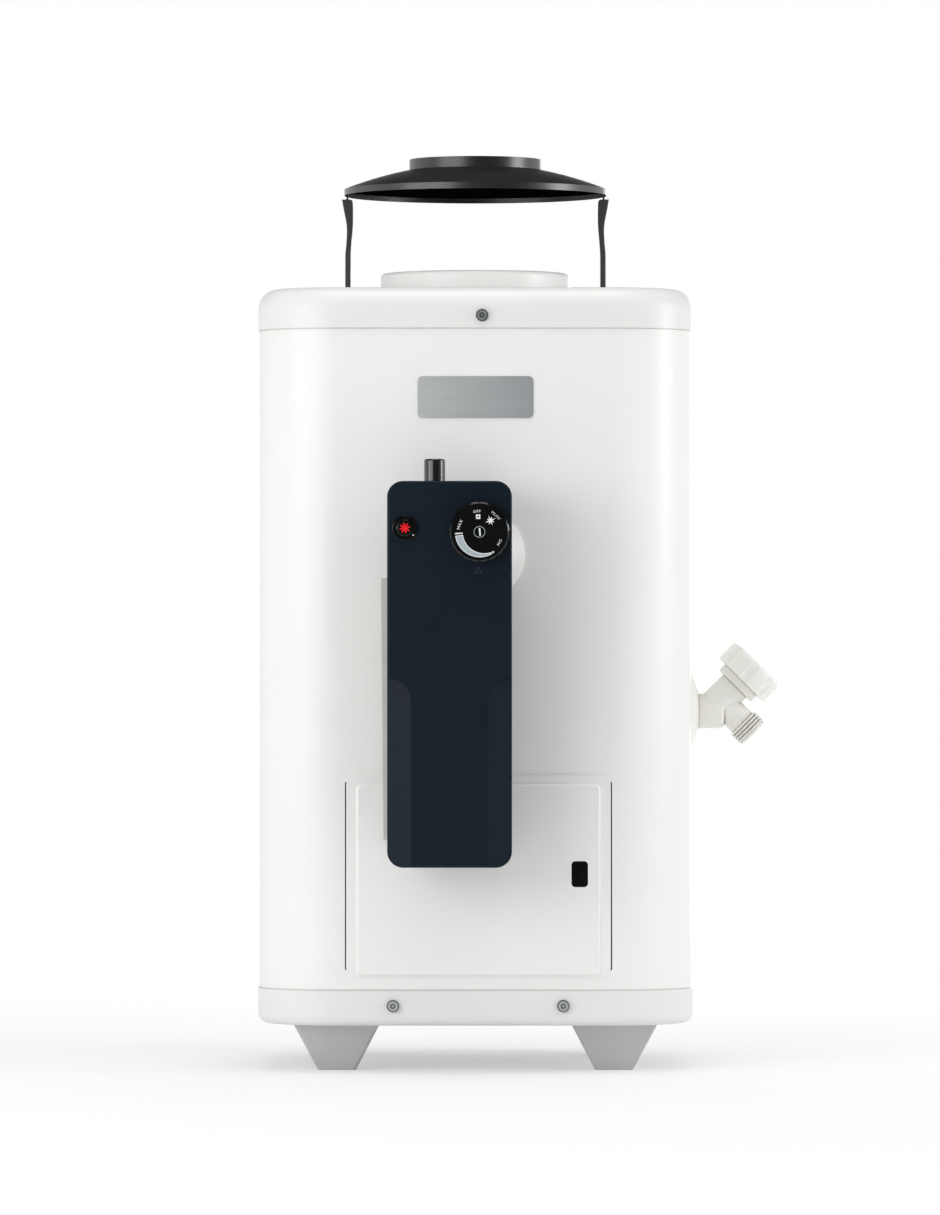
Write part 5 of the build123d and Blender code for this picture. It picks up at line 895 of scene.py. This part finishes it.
def white_floor():
    """White floor that keeps the heater's shadow and fades into the white surroundings."""
    corners = [(-FLOOR_REACH, -FLOOR_REACH, 0), (FLOOR_REACH, -FLOOR_REACH, 0),
               (FLOOR_REACH, FLOOR_REACH, 0), (-FLOOR_REACH, FLOOR_REACH, 0)]
    mesh = bpy.data.meshes.new("floor")
    mesh.from_pydata(corners, [], [(0, 1, 2, 3)])
    material = bpy.data.materials.new("white_studio_floor")
    material.use_nodes = True
    tree = material.node_tree
    tree.nodes.clear()
    place = add(tree, "ShaderNodeTexCoord", {}, {})
    away = add(tree, "ShaderNodeVectorMath", {"operation": "LENGTH"}, {0: (place, "Object")})
    fade = add(tree, "ShaderNodeMapRange",
               {"From Min": 0.25, "From Max": 1.3, "To Min": 0.45, "interpolation_type": "SMOOTHSTEP"},
               {"Value": (away, "Value")})
    path = add(tree, "ShaderNodeLightPath", {}, {})
    seen = add(tree, "ShaderNodeMath", {"operation": "MAXIMUM"},
               {0: (path, "Is Camera Ray"), 1: (path, "Is Glossy Ray")})
    white_share = add(tree, "ShaderNodeMath", {"operation": "MULTIPLY"}, {0: (fade, "Result"), 1: (seen, 0)})
    grain = add(tree, "ShaderNodeTexNoise", {"Scale": per_mm(120), "Detail": 2.0},
                {"Vector": (place, "Object")})
    tint = add(tree, "ShaderNodeMix", {"data_type": "RGBA", 6: linear("#F2F2F2"), 7: linear("#F6F6F6")},
               {0: (grain, "Fac")})
    matt = add(tree, "ShaderNodeBsdfDiffuse", {}, {"Color": (tint, 2)})
    spot = add(tree, "ShaderNodeSeparateXYZ", {}, {"Vector": (place, "Object")})
    mirrored = add(tree, "ShaderNodeMapRange",
                   {"From Min": -2.0, "From Max": -0.4, "To Min": 0.12, "To Max": 1.0},
                   {"Value": (spot, "Y")})
    strength = add(tree, "ShaderNodeMath", {"operation": "MAXIMUM"},
                   {0: (path, "Is Camera Ray"), 1: (mirrored, "Result")})
    white = add(tree, "ShaderNodeEmission", {"Color": linear("#FFFFFF")}, {"Strength": (strength, 0)})
    blend = add(tree, "ShaderNodeMixShader", {}, {0: (white_share, 0), 1: (matt, 0), 2: (white, 0)})
    add(tree, "ShaderNodeOutputMaterial", {}, {"Surface": (blend, 0)})
    mesh.materials.append(material)
    floor = bpy.data.objects.new("floor", mesh)
    bpy.context.collection.objects.link(floor)


def aim(thing, place, target):
    """Puts a lamp or a camera at a place, turned towards a target."""
    thing.location = place
    thing.rotation_mode = "QUATERNION"
    thing.rotation_quaternion = (Vector(target) - Vector(place)).to_track_quat("-Z", "Y")
    bpy.context.collection.objects.link(thing)


def lamp(name, place, target, size, watts):
    """Square soft lamp aimed at a point."""
    data = bpy.data.lights.new(name, "AREA")
    data.size = size
    data.energy = watts
    lamp_object = bpy.data.objects.new(name, data)
    lamp_object.visible_camera = False
    aim(lamp_object, place, target)


def photo_camera():
    """Camera 6 m in front, with the heater framed as in the photograph."""
    data = bpy.data.cameras.new("photo_camera")
    data.sensor_width = SENSOR_WIDTH_MM
    data.lens = LENS_MM
    data.clip_end = CAMERA_CLIP_END
    camera = bpy.data.objects.new("photo_camera", data)
    aim(camera, CAMERA_PLACE, CAMERA_TARGET)
    bpy.context.scene.camera = camera


white_surroundings()
white_floor()
for lamp_row in LAMPS:
    lamp(*lamp_row)
photo_camera()
bpy.context.scene.view_settings.view_transform = "Standard"
